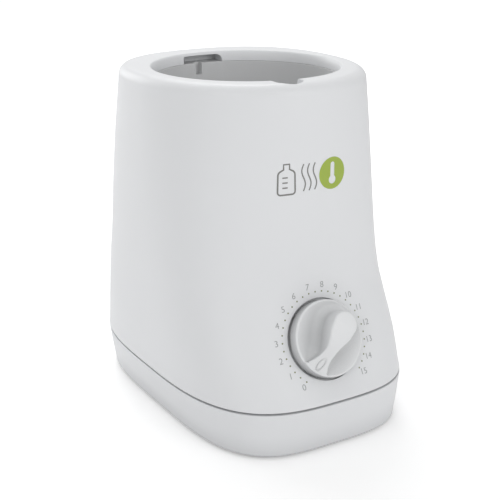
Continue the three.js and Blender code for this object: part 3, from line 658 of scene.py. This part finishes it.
def makeBase():
    low = case["floorHeight"]
    high = case["seam"] - case["seamGap"] / 2
    edge = base["seamEdge"]
    bottomEdge = base["bottomEdge"]
    wall = case["wall"]
    tongue = base["tongue"]
    centre = roundLevel(low, axisRadius)
    levels = [centre, mixLevels(centre, caseLevel(low, bottomEdge), 0.5)]
    for i in range(7):
        a = math.pi / 2 * i / 6
        levels.append(caseLevel(low + bottomEdge * (1 - math.cos(a)), bottomEdge * (1 - math.sin(a))))
    levels += [caseLevel(z) for z in span(low + bottomEdge + 1.5, high - edge, 9)]
    levels += [caseLevel(high - edge * 0.3, edge * 0.15), caseLevel(high, edge)]
    inner = tongue["inset"]
    levels += [caseLevel(high, inner), caseLevel(tongue["top"], inner + 0.1)]
    inner += tongue["thickness"]
    levels += [caseLevel(tongue["top"], inner), caseLevel(high - 3, inner), caseLevel(high - 6, wall)]
    levels += [caseLevel(z, wall) for z in (14, base["floorTop"] + 2)]
    levels += [caseLevel(base["floorTop"], wall + 2)]
    levels.append(roundLevel(base["floorTop"], axisRadius))
    shell = loftMesh("baseShell", levels, case["columns"])

    pocket, seat = base["footPocket"], base["screwPocket"]
    footPlaces = [(i * feet["across"] / 2, j * feet["along"] / 2) for i in (-1, 1) for j in (-1, 1)]
    tools = []
    for places, size in ((footPlaces, pocket), (housing["posts"], seat)):
        for x, y in places:
            tool = discMesh(size["radius"], low - 1, low + size["depth"], 40)
            tool.transform(shiftedBy(x, y, 0))
            tools.append(tool)
    inlet = base["inlet"]
    radius, flange, flat = inlet["radius"], inlet["flangeRadius"], inlet["seat"]
    bore = turnedMesh("bore", [(0, flat - 8), (radius, flat - 8), (radius, flat), (flange, flat),
                               (flange, flat + 8), (0, flat + 8)], 64)
    pad = discMesh(flange + 2, flat - wall, flat - 0.3, 64)
    toRear = shiftedBy(0, 0, inlet["height"]) @ toFront.inverted()
    return carved("base", shell, [
        ("UNION", joined("inletPad", [pad], toRear)),
        ("DIFFERENCE", joined("sunkTools", tools)),
        ("DIFFERENCE", joined("inletBore", [bore], toRear)),
    ])


baseMesh = softened("base", makeBase(), base["softEdge"])
addPiece("baseShell", baseMesh, "case_white", "case", "base_shell")
print("stage: base shell", len(baseMesh.polygons))


# ---- Feet ----

def makeRepeatTree():  # the host's own shape, set out on the corners of a rectangle
    make, given, result = shapeTree("onRectangle", {"Shape": "Geometry", "Across": 0.1, "Along": 0.1})
    corners = make.add("GeometryNodeMeshGrid", {
        "Vertices X": 2, "Vertices Y": 2, "Size X": given["Across"], "Size Y": given["Along"]})
    make.finish(make.copies(corners.outputs["Mesh"], given["Shape"]), given["Material"], result[0])
    return make.tree


def makeFeet():
    radius, height, edge = feet["radius"], feet["height"], feet["edge"]
    profile = [(0, 0), (radius - 1.6, 0), (radius - edge, 0.05)]
    for a in span(0.3, math.pi / 2, 4):
        profile.append((radius - edge + edge * math.sin(a), edge - edge * math.cos(a)))
    profile += [(radius, height - 0.2), (radius - 0.2, height), (0, height)]
    foot = turnedMesh("foot", profile, feet["columns"])
    return runTree("feet", makeRepeatTree(), foot, {
        "Across": feet["across"] * mm, "Along": feet["along"] * mm, "Material": materials["black_rubber"]})


footNames = [f"foot_{row}_{side}" for row in ("front", "rear") for side in ("left", "right")]
addPiece("feet", softened("feet", makeFeet(), 0), "black_rubber", "case", *footNames)
print("stage: feet")


# ---- Bath: reservoir and heating plate ----

bath = {
    "topRadius": 49.9,
    "bottomRadius": 47.3,
    "top": 182.25,
    "bottom": 71.8,
    "wall": 2.2,
    "rimRadius": 59.0,
    "rim": 2.5,
    "floorOpening": 40.5,
    "cornerRadius": 4.0,
    "edge": 0.5,
    "flange": 2.5,  # thickness of the ring that holds the plate
    "panel": {"left": -10.0, "right": 14.0, "depth": 0.8, "bottom": 140.0, "inside": 44.0},
    "keyway": {"left": -4.0, "right": 0.0, "bottom": 175.5, "back": 53.4, "corner": 1.0,
               "padSide": 2.0, "padFront": 0.6, "padBack": 2.9},
    "columns": 160,
    "softEdge": 0.25,
}
plate = {"top": 67.5, "thickness": 1.5, "outer": 48.0, "inner": 20.0}


def makeReservoir():
    top, bottom, wall = bath["top"], bath["bottom"], bath["wall"]
    rimBottom = top - bath["rim"]
    flange = bottom - bath["flange"]
    opening, corner, edge = bath["floorOpening"], bath["cornerRadius"], bath["edge"]
    high, low = bath["topRadius"], bath["bottomRadius"]
    profile = [(opening, flange), (low + wall - 1, flange), (low + wall, flange + 1),
               (high + wall, rimBottom), (bath["rimRadius"], rimBottom), (bath["rimRadius"], top),
               (high + edge, top), (high + 0.1, top - 0.1), (high, top - edge)]
    for t in (0.25, 0.5, 0.75, 1):
        profile.append((high - (high - low - 0.1) * t, top - edge - (top - edge - bottom - corner) * t))
    for a in span(0.2, math.pi / 2, 7):
        profile.append((low + 0.1 - corner + corner * math.cos(a), bottom + corner - corner * math.sin(a)))
    profile += [(opening + edge, bottom), (opening + 0.1, bottom - 0.1), (opening, bottom - edge),
                (opening, flange)]
    body = turnedMesh("reservoirBody", profile, bath["columns"], case["mouthY"])

    keyway, panel = bath["keyway"], bath["panel"]
    x0, x1, low = keyway["left"], keyway["right"], keyway["bottom"]
    near, far = case["mouthY"] + high + keyway["padFront"], keyway["back"] + keyway["padBack"]
    side = keyway["padSide"]
    padOutline = [(x0 - side, near), (x1 + side, near), (x1 + side, far), (x0 - side, far)]
    pad = prismMesh("keywayPad", padOutline, low - side, top - 1)
    foot = keyway["corner"]
    face = [(x0, top + 2), *arcPoints(x0 + foot, low + foot, foot, 180, 270, 5),
            *arcPoints(x1 - foot, low + foot, foot, 270, 360, 5), (x1, top + 2)]
    slotPlace = shiftedBy(0, case["mouthY"] + keyway["back"], 0) @ toFront
    slot = joined("keyway", [prismMesh("keywaySlot", face, 0, 14)], slotPlace)
    reach = high + panel["depth"]
    ends = [math.asin(panel[side] / reach) for side in ("left", "right")]
    arc = [(math.sin(a) * reach, case["mouthY"] + math.cos(a) * reach) for a in span(*ends, 25)]
    outline = [(panel["right"], panel["inside"]), (panel["left"], panel["inside"]), *arc]
    recess = prismMesh("panelRecess", outline, panel["bottom"], top + 2)
    return carved("reservoir", body, [("UNION", pad), ("DIFFERENCE", recess), ("DIFFERENCE", slot)])


reservoirMesh = softened("reservoir", makeReservoir(), bath["softEdge"])
addPiece("bathReservoir", reservoirMesh, "bath_grey", "case", "reservoir")


def makePlate():
    top, outer, inner, edge = plate["top"], plate["outer"], plate["inner"], 0.2
    bottom = top - plate["thickness"]
    bead = [(33.5, top), (33.0, top + 0.12), (31.0, top + 0.12), (30.5, top)]
    profile = [(inner, bottom), (outer, bottom), (outer, top - edge), (outer - edge, top), *bead,
               (inner + edge, top), (inner, top - edge), (inner, bottom)]
    return turnedMesh("plateTurned", profile, 128, case["mouthY"])


addPiece("heatingPlate", softened("plate", makePlate(), 0), "stainless", "case", "heating_plate")
print("stage: reservoir and plate")


# ---- Pump grille ----

grille = {
    "radius": 24.0,
    "bottom": 71.2,
    "edgeHeight": 1.0,
    "crownHeight": 2.4,
    "spigotOuter": 17.4,
    "spigotInner": 15.6,
    "spigotLength": 1.8,
    "flatRadius": 6.3,  # of the middle of the crown
    "slots": 8,
    "slotInner": 7.0,
    "slotOuter": 15.0,
    "slotWidth": 2.2,
}


def makeSlotTree():  # cuts radial slots with round ends through the host
    make, given, result = shapeTree("radialSlots", {
        "Cover": "Geometry", "Slots": 8, "Inner radius": 0.007, "Outer radius": 0.015,
        "Width": 0.002, "Centre Y": 0.0, "Height": 0.07,
    })
    calc = make.calc
    inner, outer, width = given["Inner radius"], given["Outer radius"], given["Width"]
    index = make.first("GeometryNodeInputIndex")
    turn = calc("DIVIDE", calc("MULTIPLY", index, 2 * math.pi), given["Slots"])
    middle = calc("MULTIPLY", calc("ADD", inner, outer), 0.5)
    spot = make.vector(calc("MULTIPLY", middle, calc("COSINE", turn)),
                       calc("ADD", given["Centre Y"], calc("MULTIPLY", middle, calc("SINE", turn))),
                       given["Height"])
    line = make.first("GeometryNodeMeshLine", {"Count": given["Slots"]})
    cutter = make.add("GeometryNodeMeshCylinder", {"Vertices": 24, "Radius": 0.5, "Depth": 12 * mm})
    own = make.add("ShaderNodeSeparateXYZ", {0: make.first("GeometryNodeInputPosition")}).outputs
    straight = calc("MULTIPLY", calc("SUBTRACT", calc("SUBTRACT", outer, inner), width), 0.5)
    side = calc("MULTIPLY", calc("SIGN", own[0]), straight)
    stretched = calc("ADD", calc("MULTIPLY", own[0], width), side)
    long = make.vector(stretched, calc("MULTIPLY", own[1], width), own[2])
    cutter = make.moved(cutter.outputs["Mesh"], long)
    rotation = make.first("FunctionNodeEulerToRotation", {0: make.vector(0.0, 0.0, turn)})
    cutters = make.copies(make.moved(line, spot), cutter, Rotation=rotation)
    solid = make.first("GeometryNodeRealizeInstances", {0: cutters})
    make.finish(make.cut(given["Cover"], solid), given["Material"], result[0])
    return make.tree


def makeGrille():
    bottom, edge, crown = grille["bottom"], grille["edgeHeight"], grille["crownHeight"]
    inner, outer, radius = grille["spigotInner"], grille["spigotOuter"], grille["radius"]
    spigot = bottom - grille["spigotLength"]
    profile = [(0, bottom), (inner, bottom), (inner, spigot), (outer, spigot), (outer, bottom),
               (radius - 0.2, bottom), (radius, bottom + 0.2), (radius, bottom + edge - 0.3)]
    for t in span(0, 1, 9):
        rise = (crown - edge) * math.sin(t * math.pi / 2)
        profile.append((radius - 0.3 - t * (radius - grille["flatRadius"]), bottom + edge + rise))
    profile.append((0, bottom + crown))
    cover = turnedMesh("grilleCover", profile, 96, case["mouthY"])
    return runTree("grille", makeSlotTree(), cover, {
        "Slots": grille["slots"], "Inner radius": grille["slotInner"] * mm,
        "Outer radius": grille["slotOuter"] * mm, "Width": grille["slotWidth"] * mm,
        "Centre Y": case["mouthY"] * mm, "Height": (bottom + 1) * mm, "Material": materials["inner_grey"]})


grilleMesh = softened("grille", makeGrille(), 0.15)
addPiece("pumpGrille", grilleMesh, "inner_grey", "case", "pump_grille")
print("stage: pump grille", len(grilleMesh.polygons))


# ---- Screws: every one of the case is set out by one tree ----

screws = {  # by the names of the inputs of their tree
    "Head radius": 2.4,
    "Head height": 1.6,
    "Shank radius": 1.2,
    "Cross length": 2.7,
    "Cross width": 0.7,
    "Cross depth": 0.9,
}


def makeScrewTree():
    make, given, result = shapeTree("screwSet", {"Places": "Geometry", **{label: mm for label in screws}})
    calc, first = make.calc, make.first

    def moved(node, z):
        return first("GeometryNodeTransform", {
            "Geometry": node.outputs["Mesh"], "Translation": make.vector(0.0, 0.0, z)})

    def attributeOf(name, kind):
        return first("GeometryNodeInputNamedAttribute", {"Name": name}, data_type=kind)

    height, width, length = given["Head height"], given["Cross width"], given["Cross length"]
    deep = calc("MULTIPLY", given["Cross depth"], 2)
    cross = make.add("GeometryNodeJoinGeometry")
    for sides in ((length, width), (width, length)):
        bar = make.add("GeometryNodeMeshCube", {"Size": make.vector(*sides, deep)})
        make.put(moved(bar, calc("MULTIPLY", height, -1)), cross.inputs[0])
    head = make.add("GeometryNodeMeshCylinder", {
        "Vertices": 24, "Radius": given["Head radius"], "Depth": height})
    crossed = make.cut(moved(head, calc("MULTIPLY", height, -0.5)), cross.outputs[0])
    shank = make.add("GeometryNodeMeshCylinder", {
        "Vertices": 16, "Radius": given["Shank radius"], "Depth": 1.0})
    rotation = first("FunctionNodeAlignRotationToVector", {
        "Vector": attributeOf("direction", "FLOAT_VECTOR")}, axis="Z")
    parts = make.add("GeometryNodeJoinGeometry")
    scale = make.vector(1.0, 1.0, attributeOf("shankLength", "FLOAT"))
    for shape, extra in ((crossed, {}), (moved(shank, 0.5), {"Scale": scale})):
        make.put(make.copies(given["Places"], shape, Rotation=rotation, **extra), parts.inputs[0])
    make.finish(parts.outputs[0], given["Material"], result[0])
    return make.tree


def makeScrews():  # each screw's place, direction and length are read off its CAD node
    names = [name for name in frame["nodes"] if "_screw_" in name]
    headHeight = screws["Head height"] * mm
    places, directions, lengths = [], [], []
    for name in names:
        points = [vertex.co for vertex in frame["nodes"][name].data.vertices]
        axis = dialNormal if name.startswith("timer") else Vector((0, 0, 1))
        if name.startswith(("cord", "terminal")):
            axis = -axis
        heights = [point.dot(axis) for point in points]
        centre = sum(points, Vector()) / len(points)
        places.append(centre + axis * (min(heights) + headHeight - centre.dot(axis)))
        directions.append(axis)
        lengths.append(max(heights) - min(heights) - headHeight)
    host = bpy.data.meshes.new("screwPlaces")
    host.from_pydata(places, [], [])
    direction = host.attributes.new("direction", "FLOAT_VECTOR", "POINT")
    direction.data.foreach_set("vector", [value for axis in directions for value in axis])
    host.attributes.new("shankLength", "FLOAT", "POINT").data.foreach_set("value", lengths)
    values = {label: size * mm for label, size in screws.items()}
    return runTree("screws", makeScrewTree(), host, {**values, "Material": materials["zinc_steel"]}), names


screwMesh, screwNames = makeScrews()
addPiece("screwSet", softened("screws", screwMesh, 0), "zinc_steel", "case", *screwNames)
print("stage: screws", len(screwNames))


# ---- Cord bush at the rear ----

bush = {"bore": 3.4, "radius": 5.4, "flange": 8.4, "sleeve": 6.6, "flangeDepth": 1.5, "clearance": 0.3}


def makeBush():
    seat, bore, radius, flange = base["inlet"]["seat"], bush["bore"], bush["radius"], bush["flange"]
    front = seat + bush["clearance"]
    back = front + bush["flangeDepth"]
    inner = seat - bush["sleeve"]
    profile = [(bore, inner), (radius, inner), (radius, front), (flange, front), (flange, back - 0.7),
               (flange - 0.25, back - 0.2), (flange - 0.8, back), (bore + 0.5, back),
               (bore + 0.1, back - 0.15), (bore, back - 0.5), (bore, inner)]
    toRear = shiftedBy(0, 0, base["inlet"]["height"]) @ toFront.inverted()
    return joined("bush", [turnedMesh("bushTurned", profile, 64)], toRear)


addPiece("cordBush", softened("bush", makeBush(), 0), "black_rubber", "case", "cord_bush")
print("stage: cord bush")


# ---- Dial knob: built along rays that leave the grip's spine ----

knob = {
    "radius": 20.3,
    "skirtRadius": 20.6,
    "skirtHeight": -0.8,
    "hollowRadius": 18.4,
    "hollowHeight": 0.8,
    "boreRadius": 3.5,
    "hubRadius": 6.5,
    "dishHeight": 2.8,
    "rimHeight": 5.8,
    "rimWidth": 1.1,
    "gripTop": [(-7, 16.5), (0.4, 15.7), (3.5, 15.1), (5.9, 14.6), (8.5, 13.6), (11.5, 11.6), (14.5, 9.3),
                (17.5, 7.2), (20.3, 5.8)],
    "gripHalf": [(-7, 7.05), (-2.3, 6.5), (0.4, 5.7), (3.5, 4.5), (5.9, 3.8), (8.5, 3.3), (11.5, 3.5),
                 (14.5, 4.5), (17, 6.2), (20.3, 9.2)],
    "spineStart": -7.0,
    "topRound": 1.1,
    "crown": 0.25,
    "rimDrop": 0.7,
    "wallSlope": 0.12,  # how far a wall moves out for each mm it drops
    "scoop": 5.2,  # radius of the hollow between wall and dish
    "mark": {"along": 15.8, "length": 5.8, "width": 3.0, "groove": 0.42, "depth": 0.5},
    "rays": 150,
    "points": 90,
    "smoothing": 30,
}
gripTop = smoothLine(knob["gripTop"])
gripHalf = smoothLine(knob["gripHalf"])


def dishHeight(radius):
    return knob["dishHeight"] + (knob["rimHeight"] - knob["dishHeight"]) * (radius / knob["radius"]) ** 2


def markDepth(along, across):  # an oval ring pressed into the pointer
    mark = knob["mark"]
    ring = math.hypot((along - mark["along"]) / mark["length"] * 2, across / mark["width"] * 2)
    distance = abs(ring - 1) * mark["width"] / 2
    return mark["depth"] * math.exp(-((distance / mark["groove"]) ** 2) * 2)


def raySection(top, half, outwards):  # (distance, height) points from the spine over the wall to the rim
    soft = min(knob["topRound"], 0.6 * half)
    floor = dishHeight(outwards(half)) if outwards(half) < knob["radius"] else knob["rimHeight"]
    edge = min(knob["topRound"], max(0.05, (top - floor) * 0.45))
    crown = knob["crown"] * min(1, (top - floor) / 4)
    points = [((half - soft) * t * 0.99, top - crown * t ** 2) for t in span(0, 1, 14)]
    lastX, lastZ = points[-1]
    for a in span(0.15, 1.35, 7):
        points.append((lastX + soft * math.sin(a), lastZ - edge * (1 - math.cos(a))))
    x, z = points[-1]
    scoop = min(knob["scoop"], max(0.1, (z - floor) * 0.75))
    drop = z - floor - scoop
    if drop > 0:
        points += [(x + knob["wallSlope"] * drop * t, z - drop * t) for t in (0.25, 0.5, 0.75, 1)]
        x, z = points[-1]
    for i in range(1, 13):
        a = math.pi / 2 * i / 12
        reach = x + scoop * (1 - math.cos(a))
        rest = dishHeight(outwards(reach)) - floor
        points.append((reach, z - scoop * math.sin(a) + rest * (i / 12) ** 2))
    x = points[-1][0]
    return points + [(x + t, dishHeight(outwards(x + t))) for t in span(0.6, 45, 75)]


def clippedAt(limit, section, outwards):  # ends a section where it reaches the rim
    kept = [section[0]]
    for here, after in zip(section, section[1:]):
        if outwards(after[0]) < limit:
            kept.append(after)
            continue
        low, high = here[0], after[0]
        for _ in range(30):
            middle = (low + high) / 2
            low, high = (middle, high) if outwards(middle) < limit else (low, middle)
        t = (high - here[0]) / max(after[0] - here[0], 1e-9)
        kept.append((high, here[1] + (after[1] - here[1]) * t))
        break
    return kept


def evenlySpaced(section, count):  # the same line with its points at equal distances along it
    lengths = [0.0]
    for here, after in zip(section, section[1:]):
        lengths.append(lengths[-1] + math.dist(here, after))
    points = []
    at = 0
    for want in span(0, lengths[-1], count):
        while at < len(section) - 2 and lengths[at + 1] < want:
            at += 1
        t = min(1, max(0, (want - lengths[at]) / max(lengths[at + 1] - lengths[at], 1e-9)))
        points.append([a + (b - a) * t for a, b in zip(section[at], section[at + 1])])
    return points


def makeKnobTop():
    rim = knob["radius"] - knob["rimWidth"]
    start = knob["spineStart"]
    stations = span(start, rim - 0.02, knob["rays"])
    turns = span(math.pi / 2, 1.5 * math.pi, 90)[1:-1]
    rays = ([(x, 0, 1) for x in reversed(stations)] + [(start, math.cos(a), math.sin(a)) for a in turns]
            + [(x, 0, -1) for x in stations])
    columns = []
    for x, dx, dy in rays:
        half = gripHalf(x)

        def outwards(distance):
            return math.hypot(x + dx * distance, dy * distance)

        section = clippedAt(rim, raySection(gripTop(x), half, outwards), outwards)
        column = []
        for distance, height in evenlySpaced(section, knob["points"]):
            px, py = x + dx * distance, dy * distance
            column.append((px, py, height - markDepth(px, py)))
        first = next((k for k, point in enumerate(column) if math.dist(point[:2], (x, 0)) > half + 0.9),
                     len(column))
        for _ in range(knob["smoothing"]):  # evens out the hollow, not the edge of the grip
            heights = [point[2] for point in column]
            for k in range(first, len(column) - 1):
                even = (heights[k - 1] + heights[k] * 2 + heights[k + 1]) / 4
                column[k] = (*column[k][:2], even)
        columns.append(column)
    return columns


def makeKnob():
    rows = []
    radius, width, skirt = knob["radius"], knob["rimWidth"], knob["skirtHeight"]
    side = [(radius + 0.1, 3.0), (radius + 0.2, 1.0), (knob["skirtRadius"], skirt + 0.3),
            (knob["skirtRadius"] - 0.3, skirt), (knob["hollowRadius"] + 0.2, skirt),
            (knob["hollowRadius"], knob["hollowHeight"])]
    for column in makeKnobTop():
        x, y, z = column[-1]
        a = math.atan2(y, x)
        rimTop = max(z, knob["rimHeight"] - 0.3)
        edge = []
        for t in span(0.25, 1, 5):
            b = t * math.pi / 2
            edge.append((radius - width + width * math.sin(b),
                         rimTop + (z - rimTop) * (1 - t) - knob["rimDrop"] * (1 - math.cos(b))))
        rows.append(column + [(r * math.cos(a), r * math.sin(a), h) for r, h in edge + side])
    count = len(rows[0])
    points = [tuple(value * mm for value in point) for row in rows for point in row]
    faces = []
    for i in range(len(rows)):
        j = (i + 1) % len(rows)
        for k in range(count - 1):
            faces.append((i * count + k, i * count + k + 1, j * count + k + 1, j * count + k))
    faces.append([i * count + count - 1 for i in range(len(rows))])
    mesh = bpy.data.meshes.new("knobTop")
    mesh.from_pydata(points, [], faces)
    pool = bmesh.new()
    pool.from_mesh(mesh)
    bmesh.ops.remove_doubles(pool, verts=pool.verts, dist=0.004 * mm)
    bmesh.ops.dissolve_degenerate(pool, dist=0.002 * mm, edges=pool.edges)
    bmesh.ops.triangulate(pool, faces=[face for face in pool.faces if len(face.verts) > 4])
    bmesh.ops.recalc_face_normals(pool, faces=pool.faces)
    bmesh.ops.transform(pool, verts=pool.verts,
                        matrix=dialMatrix @ Matrix.Rotation(math.radians(90 - dial["zeroAngle"]), 4, "Z"))
    hub = discMesh(knob["hubRadius"], skirt, 2, 40)
    bore = discMesh(knob["boreRadius"], -2, 10, 40)
    return carved("knob", poolMesh("knobPlaced", pool), [
        ("UNION", joined("hubPlaced", [hub], dialMatrix)),
        ("DIFFERENCE", joined("borePlaced", [bore], dialMatrix)),
    ])


knobMesh = softened("knob", makeKnob(), 0, 50)
addPiece("dialKnob", knobMesh, "knob_white", "dial", "dial_knob")
print("stage: dial knob", len(knobMesh.polygons))


# ---- Printing on the case: one sheet's thickness above the surface under it ----

printing = {
    "thickness": 0.12,
    "sunk": 0.03,  # how deep it starts under the surface
    "longestEdge": 2.0,
    "castFrom": 50.0,  # above the flat sheet
    "castReach": 200.0,
    "dots": 31,
    "shift": (0.5, -0.35),  # of the whole scale from the dial's centre
    "dotRadius": 25.3,
    "dotSize": 0.42,
    "dotStep": 9.23,  # degrees
    "numberRadius": 28.6,
    "numberHeight": 3.4,
    "figureShare": 0.73,  # of a font's size that a figure stands high
    "numberThin": 0.06,  # taken off each side of a stroke
    "mark": {"x": -3.0, "z": 141.0, "stroke": 0.8, "thin": 0.8, "discX": 14.5, "discRadius": 8.4,
             "waves": (-3.4, 0.0, 3.4), "waveHeight": 14.0, "waveSwing": 1.1},
}
housingTree = BVHTree.FromPolygons([vertex.co for vertex in housingMesh.vertices],
                                   [tuple(face.vertices) for face in housingMesh.polygons])
scaleMatrix = dialMatrix @ shiftedBy(*printing["shift"], 0)


def makeDotTree():  # flat many-sided discs round an arc
    make, given, result = shapeTree("dotRing", {
        "Count": 31, "Ring radius": 0.0254, "Dot radius": 0.0005, "Start angle": 0.0,
        "Step angle": 0.1,
    })
    calc = make.calc
    step = calc("MULTIPLY", make.first("GeometryNodeInputIndex"), given["Step angle"])
    turn = calc("SUBTRACT", given["Start angle"], step)
    spot = make.vector(*(calc("MULTIPLY", given["Ring radius"], calc(kind, turn))
                         for kind in ("COSINE", "SINE")))
    line = make.first("GeometryNodeMeshLine", {"Count": given["Count"]})
    disc = make.first("GeometryNodeMeshCircle", {
        "Vertices": 16, "Radius": given["Dot radius"]}, fill_type="NGON")
    make.finish(make.copies(make.moved(line, spot), disc), given["Material"], result[0])
    return make.tree


def printed(name, flat, matrix, direction):  # lays a flat sheet on the housing and gives it a thickness
    pool = bmesh.new()
    pool.from_mesh(flat)
    bmesh.ops.triangulate(pool, faces=pool.faces)
    for _ in range(4):  # short edges, so that the sheet can follow the surface
        long = [edge for edge in pool.edges if edge.calc_length() > printing["longestEdge"] * mm]
        bmesh.ops.subdivide_edges(pool, edges=long, cuts=1)
        bmesh.ops.triangulate(pool, faces=pool.faces)
    bmesh.ops.transform(pool, matrix=matrix, verts=pool.verts)
    bmesh.ops.recalc_face_normals(pool, faces=pool.faces)
    for face in pool.faces:
        if face.normal.dot(direction) < 0:
            face.normal_flip()
    pool.verts.index_update()
    lift, reach = direction * printing["castFrom"] * mm, printing["castReach"] * mm
    hits = [housingTree.ray_cast(vertex.co + lift, -direction, reach)[0] for vertex in pool.verts]
    sunk, thick = direction * printing["sunk"] * mm, direction * printing["thickness"] * mm
    points = [hit - sunk + thick for hit in hits] + [hit - sunk for hit in hits]
    count = len(hits)
    faces = [tuple(v.index for v in face.verts) for face in pool.faces]
    under = [tuple(count + i for i in reversed(face)) for face in faces]
    sides = []
    for edge in pool.edges:
        if len(edge.link_faces) == 1:
            loop = next(item for item in edge.link_faces[0].loops if item.edge == edge)
            a, b = loop.vert.index, loop.link_loop_next.vert.index
            sides.append((b, a, count + a, count + b))
    pool.free()
    mesh = bpy.data.meshes.new(name)
    mesh.from_pydata(points, [], faces + under + sides)
    mesh.validate()
    return mesh


def makeDots():
    flat = runTree("dots", makeDotTree(), bpy.data.meshes.new("dotHost"), {
        "Count": printing["dots"], "Ring radius": printing["dotRadius"] * mm,
        "Dot radius": printing["dotSize"] * mm, "Start angle": math.radians(90 - dial["zeroAngle"]),
        "Step angle": math.radians(printing["dotStep"]), "Material": materials["inkOlive"]})
    return printed("dots", flat, scaleMatrix, dialNormal)


def curveMesh(curve):
    return keptMesh(curve.name, placed(curve.name, curve))


def textSheet(text, x, y):
    curve = bpy.data.curves.new("number", "FONT")
    curve.body = text
    curve.size = printing["numberHeight"] / printing["figureShare"] * mm
    curve.align_x = "CENTER"
    curve.align_y = "CENTER"
    curve.offset = -printing["numberThin"] * mm
    curve.resolution_u = 4
    pool = bmesh.new()
    pool.from_mesh(curveMesh(curve))
    bmesh.ops.remove_doubles(pool, verts=pool.verts, dist=0.005 * mm)
    bmesh.ops.translate(pool, verts=pool.verts, vec=(x * mm, y * mm, 0))
    return poolMesh("number", pool)


def makeNumbers():
    sheets = []
    radius = printing["numberRadius"]
    for number in range((printing["dots"] + 1) // 2):  # a number stands at every second dot
        a = math.radians(90 - dial["zeroAngle"] - number * 2 * printing["dotStep"])
        sheets.append(textSheet(str(number), radius * math.cos(a), radius * math.sin(a)))
    return printed("numbers", joined("numberSheets", sheets), scaleMatrix, dialNormal)


addPiece("dialDots", makeDots(), "inkOlive", "case")
addPiece("dialNumbers", makeNumbers(), "inkPale", "case")
print("stage: dial printing")


# ---- Front mark: a bottle, a thermometer disc and three waves, drawn as plain strokes ----

def strokeSheet(points, width, closed=False):  # a ribbon of even width along a line
    count = len(points)
    left, right = [], []
    for i, (x, y) in enumerate(points):
        before = points[(i - 1) % count] if closed or i else points[i]
        after = points[(i + 1) % count] if closed or i < count - 1 else points[i]
        along = Vector(after) - Vector(before)
        across = Vector((-along.y, along.x)).normalized() * width / 2
        left.append((x + across.x, y + across.y))
        right.append((x - across.x, y - across.y))
    ends = [(i, (i + 1) % count) for i in range(count if closed else count - 1)]
    mesh = bpy.data.meshes.new("stroke")
    mesh.from_pydata([(x * mm, y * mm, 0) for x, y in left + right], [],
                     [(i, j, j + count, i + count) for i, j in ends])
    return mesh


def makeMarks():
    mark = printing["mark"]
    stroke, x, height = mark["stroke"], mark["discX"], mark["waveHeight"]
    bottle = (arcPoints(-16.2, -6.2, 1.6, 180, 270, 6) + arcPoints(-9.8, -6.2, 1.6, 270, 360, 6)
              + arcPoints(-10.8, 2.2, 2.4, 0, 60, 6) + [(-11.4, 5.2), (-11.4, 7.8)]
              + [(-14.6, 7.8), (-14.6, 5.2)] + arcPoints(-15.2, 2.2, 2.4, 120, 180, 6))
    levels = [[(-15.2, y), (-12.4, y)] for y in (-4.2, -1.6, 1.0)]
    waves = [[(middle + mark["waveSwing"] * math.sin(t * 2 * math.pi), height * (t - 0.5))
              for t in span(0, 1, 29)] for middle in mark["waves"]]
    grey = [strokeSheet(bottle, stroke, True)]
    grey += [strokeSheet(line, stroke * mark["thin"]) for line in levels + waves]
    stem = arcPoints(x, -3.4, 2.3, -235, 55, 21) + [(x + 1.32, 4.6)] + arcPoints(x, 4.6, 1.32, 10, 170, 9)
    disc = arcPoints(x, 0, mark["discRadius"], 0, 360, 73)[:-1]
    return grey, disc, stem


def ringSheet(*outlines):  # an outline with a hole in it
    curve = bpy.data.curves.new("ring", "CURVE")
    curve.dimensions = "2D"
    curve.fill_mode = "BOTH"
    for outline in outlines:
        spline = curve.splines.new("POLY")
        spline.points.add(len(outline) - 1)
        spline.use_cyclic_u = True
        for point, (x, y) in zip(spline.points, outline):
            point.co = (x * mm, y * mm, 0, 1)
    return curveMesh(curve)


greyMarks, discOutline, stemOutline = makeMarks()
markMatrix = shiftedBy(printing["mark"]["x"], case["front"][-1][1], printing["mark"]["z"]) @ toFront
forwards = Vector((0, -1, 0))
addPiece("frontMarkGrey", printed("markGrey", joined("marks", greyMarks), markMatrix, forwards),
         "inkGrey", "case")
addPiece("frontMarkGreen", printed("markGreen", ringSheet(discOutline, stemOutline), markMatrix, forwards),
         "inkGreen", "case")
print("stage: front mark")
